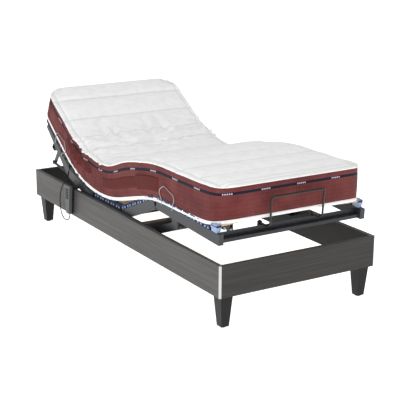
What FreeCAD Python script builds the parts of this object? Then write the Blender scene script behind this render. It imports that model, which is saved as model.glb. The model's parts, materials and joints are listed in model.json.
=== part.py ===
import FreeCAD, Part
import math
import os
import re
from FreeCAD import Placement, Rotation, Vector

# Adjustable bed base with its mattress.  Millimetres.
# The origin is on the floor under the middle of the bed: +X to the sleeper's left hand when
# seen from the foot end, +Y to the head end, +Z up.  The back is part raised and the knees are up.

SIZES = dict(
    # wooden surround
    frame_length=2000, frame_width=876, panel_height=149, panel_thick=22, panel_floor=156,
    trim_radius=9, trim_cap=1.5, trim_strip=6, bracket_leg=90, bracket_height=60, bracket_thick=4,
    # legs
    leg_top=64, leg_foot=40, leg_inset=51, glide_radius=14, glide_height=5, bolt_radius=4, bolt_length=34,
    # steel deck
    deck_top=313, rail_height=50, rail_width=25, rail_wall=2, deck_gap=6,
    seat_front=-19, seat_rear=287, end_gap=6,
    angle_thick=4, angle_width=40, angle_top=308, angle_front=-395, angle_rear=262,
    member_width=40, member_height=40, front_member_y=-110, rear_member_y=215,
    bar_depth=30, bar_height=30,
    # hinge lines of the four moving sections, with the bed flat
    thigh_pivot_y=-25, thigh_pivot_z=292, knee_y=-402, knee_z=271,
    back_pivot_y=295, back_pivot_z=292, upper_pivot_y=607, upper_pivot_z=305,
    # the angles at which the bed stands
    thigh_rise=22.5, calf_droop=2.9, back_rise=15, upper_rise=36.5,
    calf_end=-960, upper_end=950, upper_tip_height=25,
    tongue_thick=6, fork_thick=5, fork_gap=0.4, pin_radius=4, pin_gap=0.05, knuckle_small=6.9,
    knuckle_big=14,
    # slats and their rubber holders
    slat_width=38, slat_thick=8, slat_lift=11, holder_height=22, holder_length=52, slat_gap=0.3,
    slat_pitch=60, slat_end=14, foot_slat_raise=16,
    # leg lift frame
    lift_y=-171, lift_z=221.5, hanger_back=146.4, hanger_drop=52.2, arm_height=40, arm_thick=8,
    arm_inset=36, torque_radius=15, stub_radius=7, bush_radius=14, hanger_thick=6,
    # back linkage
    sync_y=214, sync_drop=180, stud_y=278, stud_z=300, sync_inset=34, sync_radius=7, sync_slot=42,
    sync_eye=12, sync_plate=6, sync_play=1.3, lever_thick=6, lever_width=26, stud_radius=5,
    # actuators
    leg_drive_x=150, back_drive_x=60, drive_z=193.7, leg_drive_z=162.9, back_lever=100, leg_lever=60,
    tube_radius=17, rod_radius=11, tube_gap=0.4, gearbox_depth=70, gearbox_width=76, gearbox_height=66,
    motor_radius=30, motor_length=31, eye_radius=12, eye_thick=14, slot_play=2.2,
    # mattress
    mattress_inset=3, mattress_base=24.5, mattress_height=188, mattress_foot=-972, mattress_head=1076,
    mattress_split=3,
    # mattress retainers
    retainer_radius=5, retainer_half=146, retainer_shift=-9, retainer_top=196, retainer_out=30,
    retainer_back=46, wire_radius=2,
    # handset
    handset_y=505, handset_top=326, handset_length=158, handset_wide=74, handset_narrow=34,
    handset_front=17, handset_back=11, handset_wall=2.2, hook_thick=4, hook_gap=1, hook_drop=34,
    hook_width=40, button_size=10, button_rise=2.6, button_pitch_y=19, button_pitch_z=15,
    button_top=24, button_gap=0.4,
    # control box
    box_wide=60, box_long=150, box_high=41.5, box_y=430, box_z=160, cord_radius=2.2,
)

document = FreeCAD.newDocument("adjustable_bed")
sheet = document.addObject("Spreadsheet::Sheet", "Sizes")
for row, (alias, number) in enumerate(SIZES.items(), start=1):
    sheet.set(f"A{row}", alias)
    sheet.set(f"B{row}", str(number))
    sheet.setAlias(f"B{row}", alias)
document.recompute()

nodes = []


# What follows from the surround's width: the deck fits between the side boards, and the leg lift
# frame, the back's fold rods and the mattress fit to the deck.
FITTED = {"arm_outer": "(deck_half_width - arm_inset)",
          "sync_x": "(deck_half_width - sync_inset)",
          "deck_half_width": "(frame_width / 2 - panel_thick - deck_gap)"}
DECK_HALF = sheet.frame_width / 2 - sheet.panel_thick - sheet.deck_gap
MATTRESS_HALF = DECK_HALF - sheet.mattress_inset


def formula(text):
    """Write a formula of bare size names as one that FreeCAD reads from the sheet."""
    text = str(text)
    for name, meaning in FITTED.items():
        text = re.sub(rf"\b{name}\b", meaning, text)
    return re.sub(r"[a-z_]{3,}", lambda word: f"Sizes.{word[0]}" if word[0] in SIZES else word[0],
                  text)


def less(text):
    return f"(-1 * ({text}))"


def place(item, x=0, y=0, z=0, turn=0):
    """Put an item at x, y, z and turn it about X, all from formulas."""
    item.Placement = Placement(Vector(0, 0, 0), Rotation(Vector(1, 0, 0), 10))
    item.setExpression("Placement.Base.x", formula(x))
    item.setExpression("Placement.Base.y", formula(y))
    item.setExpression("Placement.Base.z", formula(z))
    item.setExpression("Placement.Rotation.Angle", formula(turn))
    return item


def block(x0, x1, y0, y1, z0, z1):
    item = document.addObject("Part::Box", "Block")
    item.setExpression("Length", formula(f"({x1}) - ({x0})"))
    item.setExpression("Width", formula(f"({y1}) - ({y0})"))
    item.setExpression("Height", formula(f"({z1}) - ({z0})"))
    item.setExpression("Placement.Base.x", formula(x0))
    item.setExpression("Placement.Base.y", formula(y0))
    item.setExpression("Placement.Base.z", formula(z0))
    return item


def cylinder(x0, x1, y, z, radius):
    """A round bar that lies along X."""
    item = document.addObject("Part::Cylinder", "Round")
    item.Placement = Placement(Vector(0, 0, 0), Rotation(Vector(0, 1, 0), 90))
    item.setExpression("Radius", formula(radius))
    item.setExpression("Height", formula(f"({x1}) - ({x0})"))
    item.setExpression("Placement.Base.x", formula(x0))
    item.setExpression("Placement.Base.y", formula(y))
    item.setExpression("Placement.Base.z", formula(z))
    return item


def round_y(x, y0, y1, z, radius):
    """A round bar that lies along Y."""
    item = document.addObject("Part::Cylinder", "Round")
    item.Placement = Placement(Vector(0, 0, 0), Rotation(Vector(1, 0, 0), -90))
    item.setExpression("Radius", formula(radius))
    item.setExpression("Height", formula(f"({y1}) - ({y0})"))
    item.setExpression("Placement.Base.x", formula(x))
    item.setExpression("Placement.Base.y", formula(y0))
    item.setExpression("Placement.Base.z", formula(z))
    return item


def round_z(x, y, z0, z1, radius):
    item = document.addObject("Part::Cylinder", "Round")
    item.setExpression("Radius", formula(radius))
    item.setExpression("Height", formula(f"({z1}) - ({z0})"))
    item.setExpression("Placement.Base.x", formula(x))
    item.setExpression("Placement.Base.y", formula(y))
    item.setExpression("Placement.Base.z", formula(z0))
    return item


def strut(x0, x1, y0, z0, y1, z1, width):
    """A flat bar in an upright plane along Y, from one point to another."""
    item = document.addObject("Part::Box", "Strut")
    run, rise = f"(({y1}) - ({y0}))", f"(({z1}) - ({z0}))"
    angle = f"atan2({rise}; {run})"
    item.setExpression("Length", formula(f"({x1}) - ({x0})"))
    item.setExpression("Width", formula(f"sqrt({run}^2 + {rise}^2)"))
    item.setExpression("Height", formula(width))
    return place(item, x0, f"({y0}) + sin({angle}) * ({width}) / 2",
                 f"({z0}) - cos({angle}) * ({width}) / 2", angle)


def fuse(items, name="Joined"):
    item = document.addObject("Part::MultiFuse", name)
    item.Shapes = items
    return item


def cut(base, tools, name="Cut"):
    item = document.addObject("Part::Cut", name)
    item.Base = base
    item.Tool = tools[0] if len(tools) == 1 else fuse(tools)
    return item


def group(items, name="Group"):
    item = document.addObject("Part::Compound", name)
    item.Links = items
    return item


def node(label, item):
    """Take an item as a finished sub-part; its label names its file."""
    item.Label = label
    nodes.append(item)
    return item


def both(make, x0, x1, *rest):
    """The same piece on the right side and, mirrored, on the left."""
    return [make(x0, x1, *rest), make(less(x1), less(x0), *rest)]


def turned(pivot_y, pivot_z, y, z, angle):
    """Where a point y, z from a pivot comes to when it is turned about that pivot."""
    return (f"({pivot_y} + cos({angle}) * ({y}) - sin({angle}) * ({z}))",
            f"({pivot_z} + sin({angle}) * ({y}) + cos({angle}) * ({z}))")


# Where the hinge lines come to with the bed raised, and where each moving section is placed.
KNEE = turned("thigh_pivot_y", "thigh_pivot_z", "knee_y - thigh_pivot_y", "knee_z - thigh_pivot_z",
              "-thigh_rise")
UPPER = turned("back_pivot_y", "back_pivot_z", "upper_pivot_y - back_pivot_y",
               "upper_pivot_z - back_pivot_z", "back_rise")
HANGER = turned(*KNEE, "-hanger_back", "-hanger_drop", "calf_droop")
LEVER_TIP = turned(*UPPER, "sync_y", "-sync_drop", "upper_rise")
SECTIONS = dict(
    seat=(0, 0, 0),
    thigh=("thigh_pivot_y", "thigh_pivot_z", "-thigh_rise"),
    calf=(*KNEE, "calf_droop"),
    lower_back=("back_pivot_y", "back_pivot_z", "back_rise"),
    upper_back=(*UPPER, "upper_rise"),
    leg_lift=("lift_y", "lift_z",
              f"-1 * atan2({HANGER[1]} - lift_z; lift_y - {HANGER[0]})"),
    sync=(*LEVER_TIP, f"atan2({LEVER_TIP[1]} - stud_z; {LEVER_TIP[0]} - stud_y)"),
)


def put(section, item):
    y, z, turn = SECTIONS[section]
    return place(item, 0, y, z, turn)


# ---- wooden surround -------------------------------------------------------------------------

def board(label, length, x, y, turn):
    """A mitred board of the surround: outer face on the sketch's X axis, notched for the trim."""
    body = document.addObject("PartDesign::Body", label)
    sketch = body.newObject("Sketcher::SketchObject", label + "_outline")
    plane = next(item for item in body.Origin.OriginFeatures if item.Role == "XY_Plane")
    sketch.AttachmentSupport = (plane, "")
    sketch.MapMode = "FlatFace"
    half = sheet.get(length) / 2
    nose, thick = sheet.trim_radius, sheet.panel_thick
    corners = [(-half + nose, 0), (half - nose, 0), (half - nose, nose), (half - thick, thick),
               (-half + thick, thick), (-half + nose, nose)]
    count = len(corners)
    for index in range(count):
        start, end = corners[index], corners[(index + 1) % count]
        sketch.addGeometry(Part.LineSegment(Vector(*start, 0), Vector(*end, 0)), False)
    import Sketcher
    for index in range(count):
        sketch.addConstraint(Sketcher.Constraint("Coincident", index, 2, (index + 1) % count, 1))
    reach = [f"-{length} / 2 + trim_radius", f"{length} / 2 - trim_radius",
             f"{length} / 2 - trim_radius", f"{length} / 2 - panel_thick",
             f"-{length} / 2 + panel_thick", f"-{length} / 2 + trim_radius"]
    depth = ["0", "0", "trim_radius", "panel_thick", "panel_thick", "trim_radius"]
    for index in range(count):
        across = sketch.addConstraint(
            Sketcher.Constraint("DistanceX", -1, 1, index, 1, corners[index][0]))
        sketch.setExpression(f"Constraints[{across}]", formula(reach[index]))
        if index < 2:
            sketch.addConstraint(Sketcher.Constraint("PointOnObject", index, 1, -1))
        else:
            deep = sketch.addConstraint(
                Sketcher.Constraint("DistanceY", -1, 1, index, 1, corners[index][1]))
            sketch.setExpression(f"Constraints[{deep}]", formula(depth[index]))
    pad = body.newObject("PartDesign::Pad", label + "_board")
    pad.Profile = sketch
    pad.setExpression("Length", formula("panel_height"))
    body.Tip = pad
    body.Placement = Placement(Vector(0, 0, 0), Rotation(Vector(0, 0, 1), turn))
    body.setExpression("Placement.Base.x", formula(x))
    body.setExpression("Placement.Base.y", formula(y))
    body.setExpression("Placement.Base.z", formula("panel_floor"))
    return node(label, body)


board("foot_panel", "frame_width", 0, "-frame_length / 2", 0)
board("side_panel_right", "frame_length", "frame_width / 2", 0, 90)
board("head_panel", "frame_width", 0, "frame_length / 2", 180)
board("side_panel_left", "frame_length", "-frame_width / 2", 0, -90)


def corner_places():
    return [(side, end) for side in (1, -1) for end in (1, -1)]


def corner_trims():
    """Aluminium corner profiles: a round nose up the corner and a strip over the mitre."""
    trims = []
    for side, end in corner_places():
        x = f"{side} * (frame_width / 2 - trim_radius)"
        y = f"{end} * (frame_length / 2 - trim_radius)"
        column = round_z(x, y, "panel_floor", "panel_floor + panel_height", "trim_radius")
        column.Angle = 90
        turn = {(1, 1): 0, (-1, 1): 90, (-1, -1): 180, (1, -1): 270}[(side, end)]
        column.Placement = Placement(Vector(0, 0, 0), Rotation(Vector(0, 0, 1), turn))
        strip = document.addObject("Part::Box", "Strip")
        strip.setExpression("Length", formula("sqrt(2) * panel_thick - 2"))
        strip.setExpression("Width", formula("trim_strip"))
        strip.setExpression("Height", formula("trim_cap"))
        diagonal = {(1, 1): 225, (-1, 1): 315, (-1, -1): 45, (1, -1): 135}[(side, end)]
        strip.Placement = Placement(Vector(0, 0, 0), Rotation(Vector(0, 0, 1), diagonal))
        back = math.cos(math.radians(diagonal)), math.sin(math.radians(diagonal))
        strip.setExpression("Placement.Base.x",
                            formula(f"{side} * (frame_width / 2 - 1.5) + {back[1]} * trim_strip / 2"))
        strip.setExpression("Placement.Base.y",
                            formula(f"{end} * (frame_length / 2 - 1.5) - {back[0]} * trim_strip / 2"))
        strip.setExpression("Placement.Base.z", formula("panel_floor + panel_height"))
        cap = round_z(x, y, "panel_floor + panel_height", "panel_floor + panel_height + trim_cap",
                      "trim_radius")
        cap.Angle = 90
        cap.Placement = Placement(Vector(0, 0, 0), Rotation(Vector(0, 0, 1), turn))
        trims.append(fuse([column, strip, cap]))
    return trims


node("corner_trims", group(corner_trims()))


def corner_brackets():
    """Steel angle brackets inside the corners; each has a plate that the leg bolts up to."""
    brackets = []
    for side, end in corner_places():
        face_x, face_y = "frame_width / 2 - panel_thick", "frame_length / 2 - panel_thick"

        def corner_block(x0, x1, y0, y1, z0, z1):
            xs = (x0, x1) if side > 0 else (less(x1), less(x0))
            ys = (y0, y1) if end > 0 else (less(y1), less(y0))
            return block(*xs, *ys, z0, z1)

        low, high = "panel_floor", "panel_floor + bracket_height"
        plate = corner_block(f"{face_x} - bracket_leg", face_x, f"{face_y} - bracket_leg", face_y,
                             low, f"{low} + bracket_thick")
        side_wall = corner_block(f"{face_x} - bracket_thick", face_x, f"{face_y} - bracket_leg",
                                 face_y, low, high)
        end_wall = corner_block(f"{face_x} - bracket_leg", face_x, f"{face_y} - bracket_thick",
                                face_y, low, high)
        bolt_hole = round_z(f"{side} * (frame_width / 2 - leg_inset)",
                            f"{end} * (frame_length / 2 - leg_inset)", f"{low} - 1",
                            f"{low} + bracket_thick + 1", "bolt_radius")
        brackets.append(cut(fuse([plate, side_wall, end_wall]), [bolt_hole]))
    return brackets


node("corner_brackets", group(corner_brackets()))


def leg(side, end):
    """A square leg that tapers on all four sides, with a hole for its bolt."""
    wedge = document.addObject("Part::Wedge", "Taper")
    for prop, text in dict(Xmin="-leg_foot / 2", Xmax="leg_foot / 2", Zmin="-leg_foot / 2",
                           Zmax="leg_foot / 2", X2min="-leg_top / 2", X2max="leg_top / 2",
                           Z2min="-leg_top / 2", Z2max="leg_top / 2", Ymin="0",
                           Ymax="panel_floor - glide_height").items():
        wedge.setExpression(prop, formula(text))
    wedge.Placement = Placement(Vector(0, 0, 0), Rotation(Vector(1, 0, 0), 90))
    x, y = f"{side} * (frame_width / 2 - leg_inset)", f"{end} * (frame_length / 2 - leg_inset)"
    wedge.setExpression("Placement.Base.x", formula(x))
    wedge.setExpression("Placement.Base.y", formula(y))
    wedge.setExpression("Placement.Base.z", formula("glide_height"))
    bore = round_z(x, y, "panel_floor - bolt_length", "panel_floor + 1", "bolt_radius")
    return cut(wedge, [bore])


LEG_NAMES = {(1, 1): "leg_head_right", (-1, 1): "leg_head_left",
             (1, -1): "leg_foot_right", (-1, -1): "leg_foot_left"}
for (side, end), label in LEG_NAMES.items():
    node(label, leg(side, end))

node("leg_glides", group([
    round_z(f"{side} * (frame_width / 2 - leg_inset)", f"{end} * (frame_length / 2 - leg_inset)",
            0, "glide_height", "glide_radius") for side, end in corner_places()]))


def leg_bolts():
    bolts = []
    for side, end in corner_places():
        x, y = f"{side} * (frame_width / 2 - leg_inset)", f"{end} * (frame_length / 2 - leg_inset)"
        shank = round_z(x, y, "panel_floor - bolt_length", "panel_floor + bracket_thick",
                        "bolt_radius")
        head = round_z(x, y, "panel_floor + bracket_thick", "panel_floor + bracket_thick + 5",
                       "bolt_radius * 2")
        bolts.append(fuse([shank, head]))
    return bolts


node("leg_bolts", group(leg_bolts()))

# ---- fixed deck frame ------------------------------------------------------------------------

PANEL_FACE = "(frame_width / 2 - panel_thick)"
SHELF_TOP = "(deck_top - rail_height - 5)"
node("support_angles", group([
    fuse([block(x0, x1, "angle_front", "angle_rear", SHELF_TOP, "angle_top"),
          block(s0, s1, "angle_front", "angle_rear", f"{SHELF_TOP} - angle_thick", SHELF_TOP)])
    for x0, x1, s0, s1 in (
        (f"{PANEL_FACE} - angle_thick", PANEL_FACE, f"{PANEL_FACE} - angle_width", PANEL_FACE),
        (less(PANEL_FACE), less(f"({PANEL_FACE} - angle_thick)"), less(PANEL_FACE),
         less(f"({PANEL_FACE} - angle_width)")))]))

RAIL_IN = "(deck_half_width - rail_width)"
RAIL_MID = "(deck_half_width - rail_width / 2)"


def rails(y0, y1, top):
    """Two hollow box rails, given their ends and the height of their top faces."""
    sides = []
    for outer in both(block, RAIL_IN, "deck_half_width", y0, y1, f"{top} - rail_height", top):
        sides.append(outer)
    bores = both(block, f"{RAIL_IN} + rail_wall", "deck_half_width - rail_wall", f"{y0} - 1",
                 f"{y1} + 1", f"{top} - rail_height + rail_wall", f"{top} - rail_wall")
    return [cut(outer, [bore]) for outer, bore in zip(sides, bores)]


def tongues(pivot_y, pivot_z, back_to, radius, height):
    """Hinge tongues: a plate in the middle of each rail, round about the hinge pin."""
    pieces = []
    for side in (1, -1):
        middle = f"{side} * {RAIL_MID}"
        x0, x1 = f"{middle} - tongue_thick / 2", f"{middle} + tongue_thick / 2"
        y0, y1 = (pivot_y, back_to) if height > 0 else (back_to, pivot_y)
        bar = block(x0, x1, y0, y1, f"{pivot_z} - {radius}", f"{pivot_z} + {radius}")
        eye = cylinder(x0, x1, pivot_y, pivot_z, radius)
        pieces.append(fuse([bar, eye]))
    return pieces


def forks(back_to, radius, height):
    """Hinge forks about a section's own pivot: two plates in each rail, one each side."""
    pieces = []
    for side in (1, -1):
        for hand in (1, -1):
            inner = f"{side} * {RAIL_MID} + {hand} * (tongue_thick / 2 + fork_gap)"
            outer = f"{inner} + {hand} * fork_thick"
            x0, x1 = (inner, outer) if hand > 0 else (outer, inner)
            y0, y1 = (0, back_to) if height > 0 else (back_to, 0)
            bar = block(x0, x1, y0, y1, f"-{radius}", radius)
            pieces.append(fuse([bar, cylinder(x0, x1, 0, 0, radius)]))
    return pieces


def pin_bores(pivot_y, pivot_z, radius):
    return both(cylinder, f"{RAIL_IN} - 5", "deck_half_width + 5", pivot_y, pivot_z, radius)


def pins(pivot_y, pivot_z):
    """Hinge pins across the rails, pressed into the tongue and running in the fork."""
    return both(cylinder, f"{RAIL_IN} + 2.5", "deck_half_width - 2.5", pivot_y, pivot_z,
                "pin_radius")


def seat_frame():
    side_rails = rails("seat_front", "seat_rear", "deck_top")
    front = tongues("thigh_pivot_y", "thigh_pivot_z", "seat_front + 30", "knuckle_big", 1)
    rear = tongues("back_pivot_y", "back_pivot_z", "seat_rear - 30", "knuckle_big", -1)
    low = f"{SHELF_TOP} - angle_thick"
    members = [block(less(f"({PANEL_FACE} - 1)"), f"{PANEL_FACE} - 1", f"{y} - member_width / 2",
                     f"{y} + member_width / 2", f"{low} - member_height", low)
               for y in ("front_member_y", "rear_member_y")]
    bores = [block(less(f"({PANEL_FACE} - 0)"), f"{PANEL_FACE}", f"{y} - member_width / 2 + rail_wall",
                   f"{y} + member_width / 2 - rail_wall", f"{low} - member_height + rail_wall",
                   f"{low} - rail_wall") for y in ("front_member_y", "rear_member_y")]
    members = [cut(member, [bore]) for member, bore in zip(members, bores)]
    inner, outer = "arm_outer + 1", "arm_outer + 7"
    lugs = both(block, inner, outer, "lift_y - 20", "front_member_y - member_width / 2",
                "lift_z - 16", low)
    stubs = both(cylinder, "arm_outer - arm_thick - 4", outer, "lift_y", "lift_z", "stub_radius")
    studs = both(cylinder, "sync_x - 8", f"{RAIL_IN}", "stud_y", "stud_z", "stud_radius")
    seat_feet = both(block, RAIL_IN, "deck_half_width", "seat_front + 20", "seat_rear - 35",
                     SHELF_TOP, "deck_top - rail_height")
    body = fuse(side_rails + front + rear + members + lugs + stubs + studs + seat_feet)
    bores = pin_bores("thigh_pivot_y", "thigh_pivot_z", "pin_radius")
    bores += pin_bores("back_pivot_y", "back_pivot_z", "pin_radius")
    return cut(body, bores)


node("seat_frame", seat_frame())
node("seat_hinge_pins", group(pins("thigh_pivot_y", "thigh_pivot_z")
                              + pins("back_pivot_y", "back_pivot_z")))


def slats(first, direction, count, top, extra="0"):
    """A row of sprung slats; first is the middle of the first slat, top the rails' top face."""
    low = f"{top} + slat_lift + {extra}"
    return [block(f"slat_end - deck_half_width", "deck_half_width - slat_end",
                  f"{first} + {direction * index} * slat_pitch - slat_width / 2",
                  f"{first} + {direction * index} * slat_pitch + slat_width / 2",
                  low, f"{low} + slat_thick") for index in range(count)]


def holders(first, direction, count, top, extra="0"):
    """Rubber holders on the rails, one at each end of each slat, with a pocket for the slat."""
    caps = []
    for index in range(count):
        middle = f"({first} + {direction * index} * slat_pitch)"
        for x0, x1, p0, p1 in ((RAIL_IN, "deck_half_width", f"{RAIL_IN} - 1",
                                "deck_half_width - slat_end + slat_gap"),
                               (less("deck_half_width"), less(RAIL_IN),
                                less("(deck_half_width - slat_end + slat_gap)"),
                                less(f"({RAIL_IN} - 1)"))):
            cap = block(x0, x1, f"{middle} - holder_length / 2", f"{middle} + holder_length / 2",
                        top, f"{top} + holder_height + {extra}")
            pocket = block(p0, p1, f"{middle} - slat_width / 2 - slat_gap",
                           f"{middle} + slat_width / 2 + slat_gap",
                           f"{top} + slat_lift + {extra} - slat_gap",
                           f"{top} + slat_lift + slat_thick + {extra} + slat_gap")
            caps.append(cut(cap, [pocket]))
    return caps


SLAT_ROWS = dict(
    seat=("seat_front + 33", 1, 5, "deck_top"),
    thigh=("-41.5", -1, 6, "(deck_top - thigh_pivot_z)"),
    calf=("-38", -1, 8, "(deck_top - knee_z)"),
    foot=("-38 - 8 * slat_pitch", -1, 1, "(deck_top - knee_z)"),
    lower_back=("35", 1, 5, "(deck_top - back_pivot_z)"),
    upper_back=("38", 1, 6, "(deck_top - upper_pivot_z)"),
)
for section in SECTIONS:
    if section not in SLAT_ROWS:
        continue
    bars, caps = slats(*SLAT_ROWS[section]), holders(*SLAT_ROWS[section])
    if section == "calf":
        # the last slat, at the foot end, sits higher in taller holders
        bars += slats(*SLAT_ROWS["foot"], "foot_slat_raise")
        caps += holders(*SLAT_ROWS["foot"], "foot_slat_raise")
    node(section + "_slats", put(section, group(bars)))
    node(section + "_slat_holders", put(section, group(caps)))

# ---- moving sections; each is drawn flat about its own hinge line -------------------------------

THIGH_TOP = "(deck_top - thigh_pivot_z)"
CALF_TOP = "(deck_top - knee_z)"
BACK_TOP = "(deck_top - back_pivot_z)"
UPPER_TOP = "(deck_top - upper_pivot_z)"
TO_KNEE = "(knee_y - thigh_pivot_y)"
TO_UPPER = "(upper_pivot_y - back_pivot_y)"


def cross_bar(y0, z0):
    """A hollow bar across a section, welded between or under its rails."""
    outer = block(less("deck_half_width"), "deck_half_width", y0, f"{y0} + bar_depth", z0,
                  f"{z0} + bar_height")
    bore = block(less("(deck_half_width + 1)"), "deck_half_width + 1", f"{y0} + rail_wall",
                 f"{y0} + bar_depth - rail_wall", f"{z0} + rail_wall", f"{z0} + bar_height - rail_wall")
    return cut(outer, [bore])


def inner_bar(y0, z0, depth, height):
    return block(less(RAIL_IN), RAIL_IN, y0, f"{y0} + {depth}", z0, f"{z0} + {height}")


def thigh_frame():
    side_rails = rails(f"{TO_KNEE} + end_gap", "-12", THIGH_TOP)
    near = forks("-40", "knuckle_big", -1)
    far = tongues(TO_KNEE, "(knee_z - thigh_pivot_z)", f"{TO_KNEE} + 36", "knuckle_small", 1)
    middle = inner_bar("-200", f"{THIGH_TOP} - rail_height", "bar_depth", "bar_height")
    bores = pin_bores(0, 0, "pin_radius + pin_gap")
    bores += pin_bores(TO_KNEE, "(knee_z - thigh_pivot_z)", "pin_radius")
    return cut(fuse(side_rails + near + far + [middle]), bores)


node("thigh_frame", put("thigh", thigh_frame()))
node("knee_hinge_pins", put("thigh", group(pins(TO_KNEE, "(knee_z - thigh_pivot_z)"))))

CALF_LENGTH = "(knee_y - calf_end)"


def calf_frame():
    side_rails = rails(less(CALF_LENGTH), "-4", CALF_TOP)
    near = forks("-36", "knuckle_small", -1)
    low = f"{CALF_TOP} - rail_height"
    web = inner_bar(f"{less(CALF_LENGTH)} + 34", f"{low} + 5", 4, 40)
    lip = inner_bar(f"{less(CALF_LENGTH)} + 8", f"{low} + 5", 26, 16)
    head_bar = inner_bar("-90", low, "bar_depth", "bar_height")
    plates = both(block, "arm_outer + 4", RAIL_IN, "-hanger_back - 22", "-hanger_back + 34",
                  f"-hanger_drop - 4", CALF_TOP + " - 12")
    eyes = both(cylinder, "arm_outer + 4", RAIL_IN, "-hanger_back", "-hanger_drop", 18)
    stubs = both(cylinder, "arm_outer - arm_thick - 4", RAIL_IN, "-hanger_back", "-hanger_drop",
                 "stub_radius")
    bores = pin_bores(0, 0, "pin_radius + pin_gap")
    return cut(fuse(side_rails + near + [web, lip, head_bar] + plates + eyes + stubs), bores)


node("calf_frame", put("calf", calf_frame()))


def rail_end_caps():
    """Moulded caps in the foot ends of the calf rails."""
    low = f"({CALF_TOP} - rail_height)"
    caps = []
    for x0, x1, p0, p1 in (
            (RAIL_IN, "deck_half_width", f"{RAIL_IN} + rail_wall + 0.2",
             "deck_half_width - rail_wall - 0.2"),
            (less("deck_half_width"), less(RAIL_IN), less("(deck_half_width - rail_wall - 0.2)"),
             less(f"({RAIL_IN} + rail_wall + 0.2)"))):
        flange = block(x0, x1, f"{less(CALF_LENGTH)} - 5", less(CALF_LENGTH), low,
                       f"{low} + rail_height")
        plug = block(p0, p1, less(CALF_LENGTH), f"{less(CALF_LENGTH)} + 7.5",
                     f"{low} + rail_wall + 0.2", f"{low} + rail_height - rail_wall - 0.2")
        caps.append(fuse([flange, plug]))
    return caps


node("rail_end_caps", put("calf", group(rail_end_caps())))


def lower_back_frame():
    side_rails = rails("8", f"{TO_UPPER} - 4", BACK_TOP)
    near = forks("40", "knuckle_big", 1)
    far = tongues(TO_UPPER, "(upper_pivot_z - back_pivot_z)", f"{TO_UPPER} - 36", "knuckle_small", -1)
    bar = cross_bar("20", f"{BACK_TOP} - rail_height - bar_height")
    lever_y, lever_z = "-back_lever * sin(15)", "-back_lever * cos(15)"
    cheeks = []
    for hand in (1, -1):
        inner = f"back_drive_x + {hand} * (eye_thick / 2 + 1)"
        outer = f"{inner} + {hand} * lever_thick"
        x0, x1 = (inner, outer) if hand > 0 else (outer, inner)
        cheeks.append(strut(x0, x1, "35", f"{BACK_TOP} - rail_height - 12", lever_y, lever_z, 24))
        cheeks.append(cylinder(x0, x1, lever_y, lever_z, 12))
    cross_pin = cylinder("back_drive_x - eye_thick / 2 - 2", "back_drive_x + eye_thick / 2 + 2",
                         lever_y, lever_z, "pin_radius")
    bores = pin_bores(0, 0, "pin_radius + pin_gap")
    bores += pin_bores(TO_UPPER, "(upper_pivot_z - back_pivot_z)", "pin_radius")
    return cut(fuse(side_rails + near + far + [bar, cross_pin] + cheeks), bores)


node("lower_back_frame", put("lower_back", lower_back_frame()))
node("back_hinge_pins",
     put("lower_back", group(pins(TO_UPPER, "(upper_pivot_z - back_pivot_z)"))))

UPPER_LENGTH = "(upper_end - upper_pivot_y)"


def upper_back_frame():
    """Upper back: rails that get shallower towards the head, a bar and two levers."""
    side_rails = rails("4", UPPER_LENGTH, UPPER_TOP)
    low = f"({UPPER_TOP} - rail_height)"
    taper = strut(f"-deck_half_width - 5", "deck_half_width + 5", "0", f"{low} - 60",
                  f"{UPPER_LENGTH} + 60",
                  f"{low} - 60 + (rail_height - upper_tip_height) * ({UPPER_LENGTH} + 60)"
                  f" / {UPPER_LENGTH}", 120)
    slim = [cut(rail, [taper]) for rail in side_rails]
    sole = []
    for x0, x1 in ((RAIL_IN, "deck_half_width"), (less("deck_half_width"), less(RAIL_IN))):
        sole.append(strut(x0, x1, "10", f"{low} + 10 * (rail_height - upper_tip_height)"
                          f" / {UPPER_LENGTH} + 1", f"{UPPER_LENGTH} - 1",
                          f"{low} + (rail_height - upper_tip_height) + 1", "rail_wall"))
    near = forks("36", "knuckle_small", 1)
    bar = cross_bar("sync_y - bar_depth / 2", f"{low} + 12 - bar_height")
    levers = both(block, "sync_x - 14", "sync_x - 14 + lever_thick", "sync_y - lever_width / 2",
                  "sync_y + lever_width / 2", "-sync_drop", f"{low} + 12 - bar_height")
    ends = both(cylinder, "sync_x - 14", "sync_x - 14 + lever_thick", "sync_y", "-sync_drop",
                "lever_width / 2")
    stubs = both(cylinder, "sync_x - 14", "sync_x + sync_plate / 2 + 3", "sync_y", "-sync_drop",
                 "stud_radius")
    bores = pin_bores(0, 0, "pin_radius + pin_gap")
    return cut(fuse(slim + sole + near + [bar] + levers + ends + stubs), bores)


node("upper_back_frame", put("upper_back", upper_back_frame()))

# ---- push rods that fold the upper back --------------------------------------------------------

ROD_REACH = f"sqrt(({LEVER_TIP[0]} - stud_y)^2 + ({LEVER_TIP[1]} - stud_z)^2)"


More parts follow.
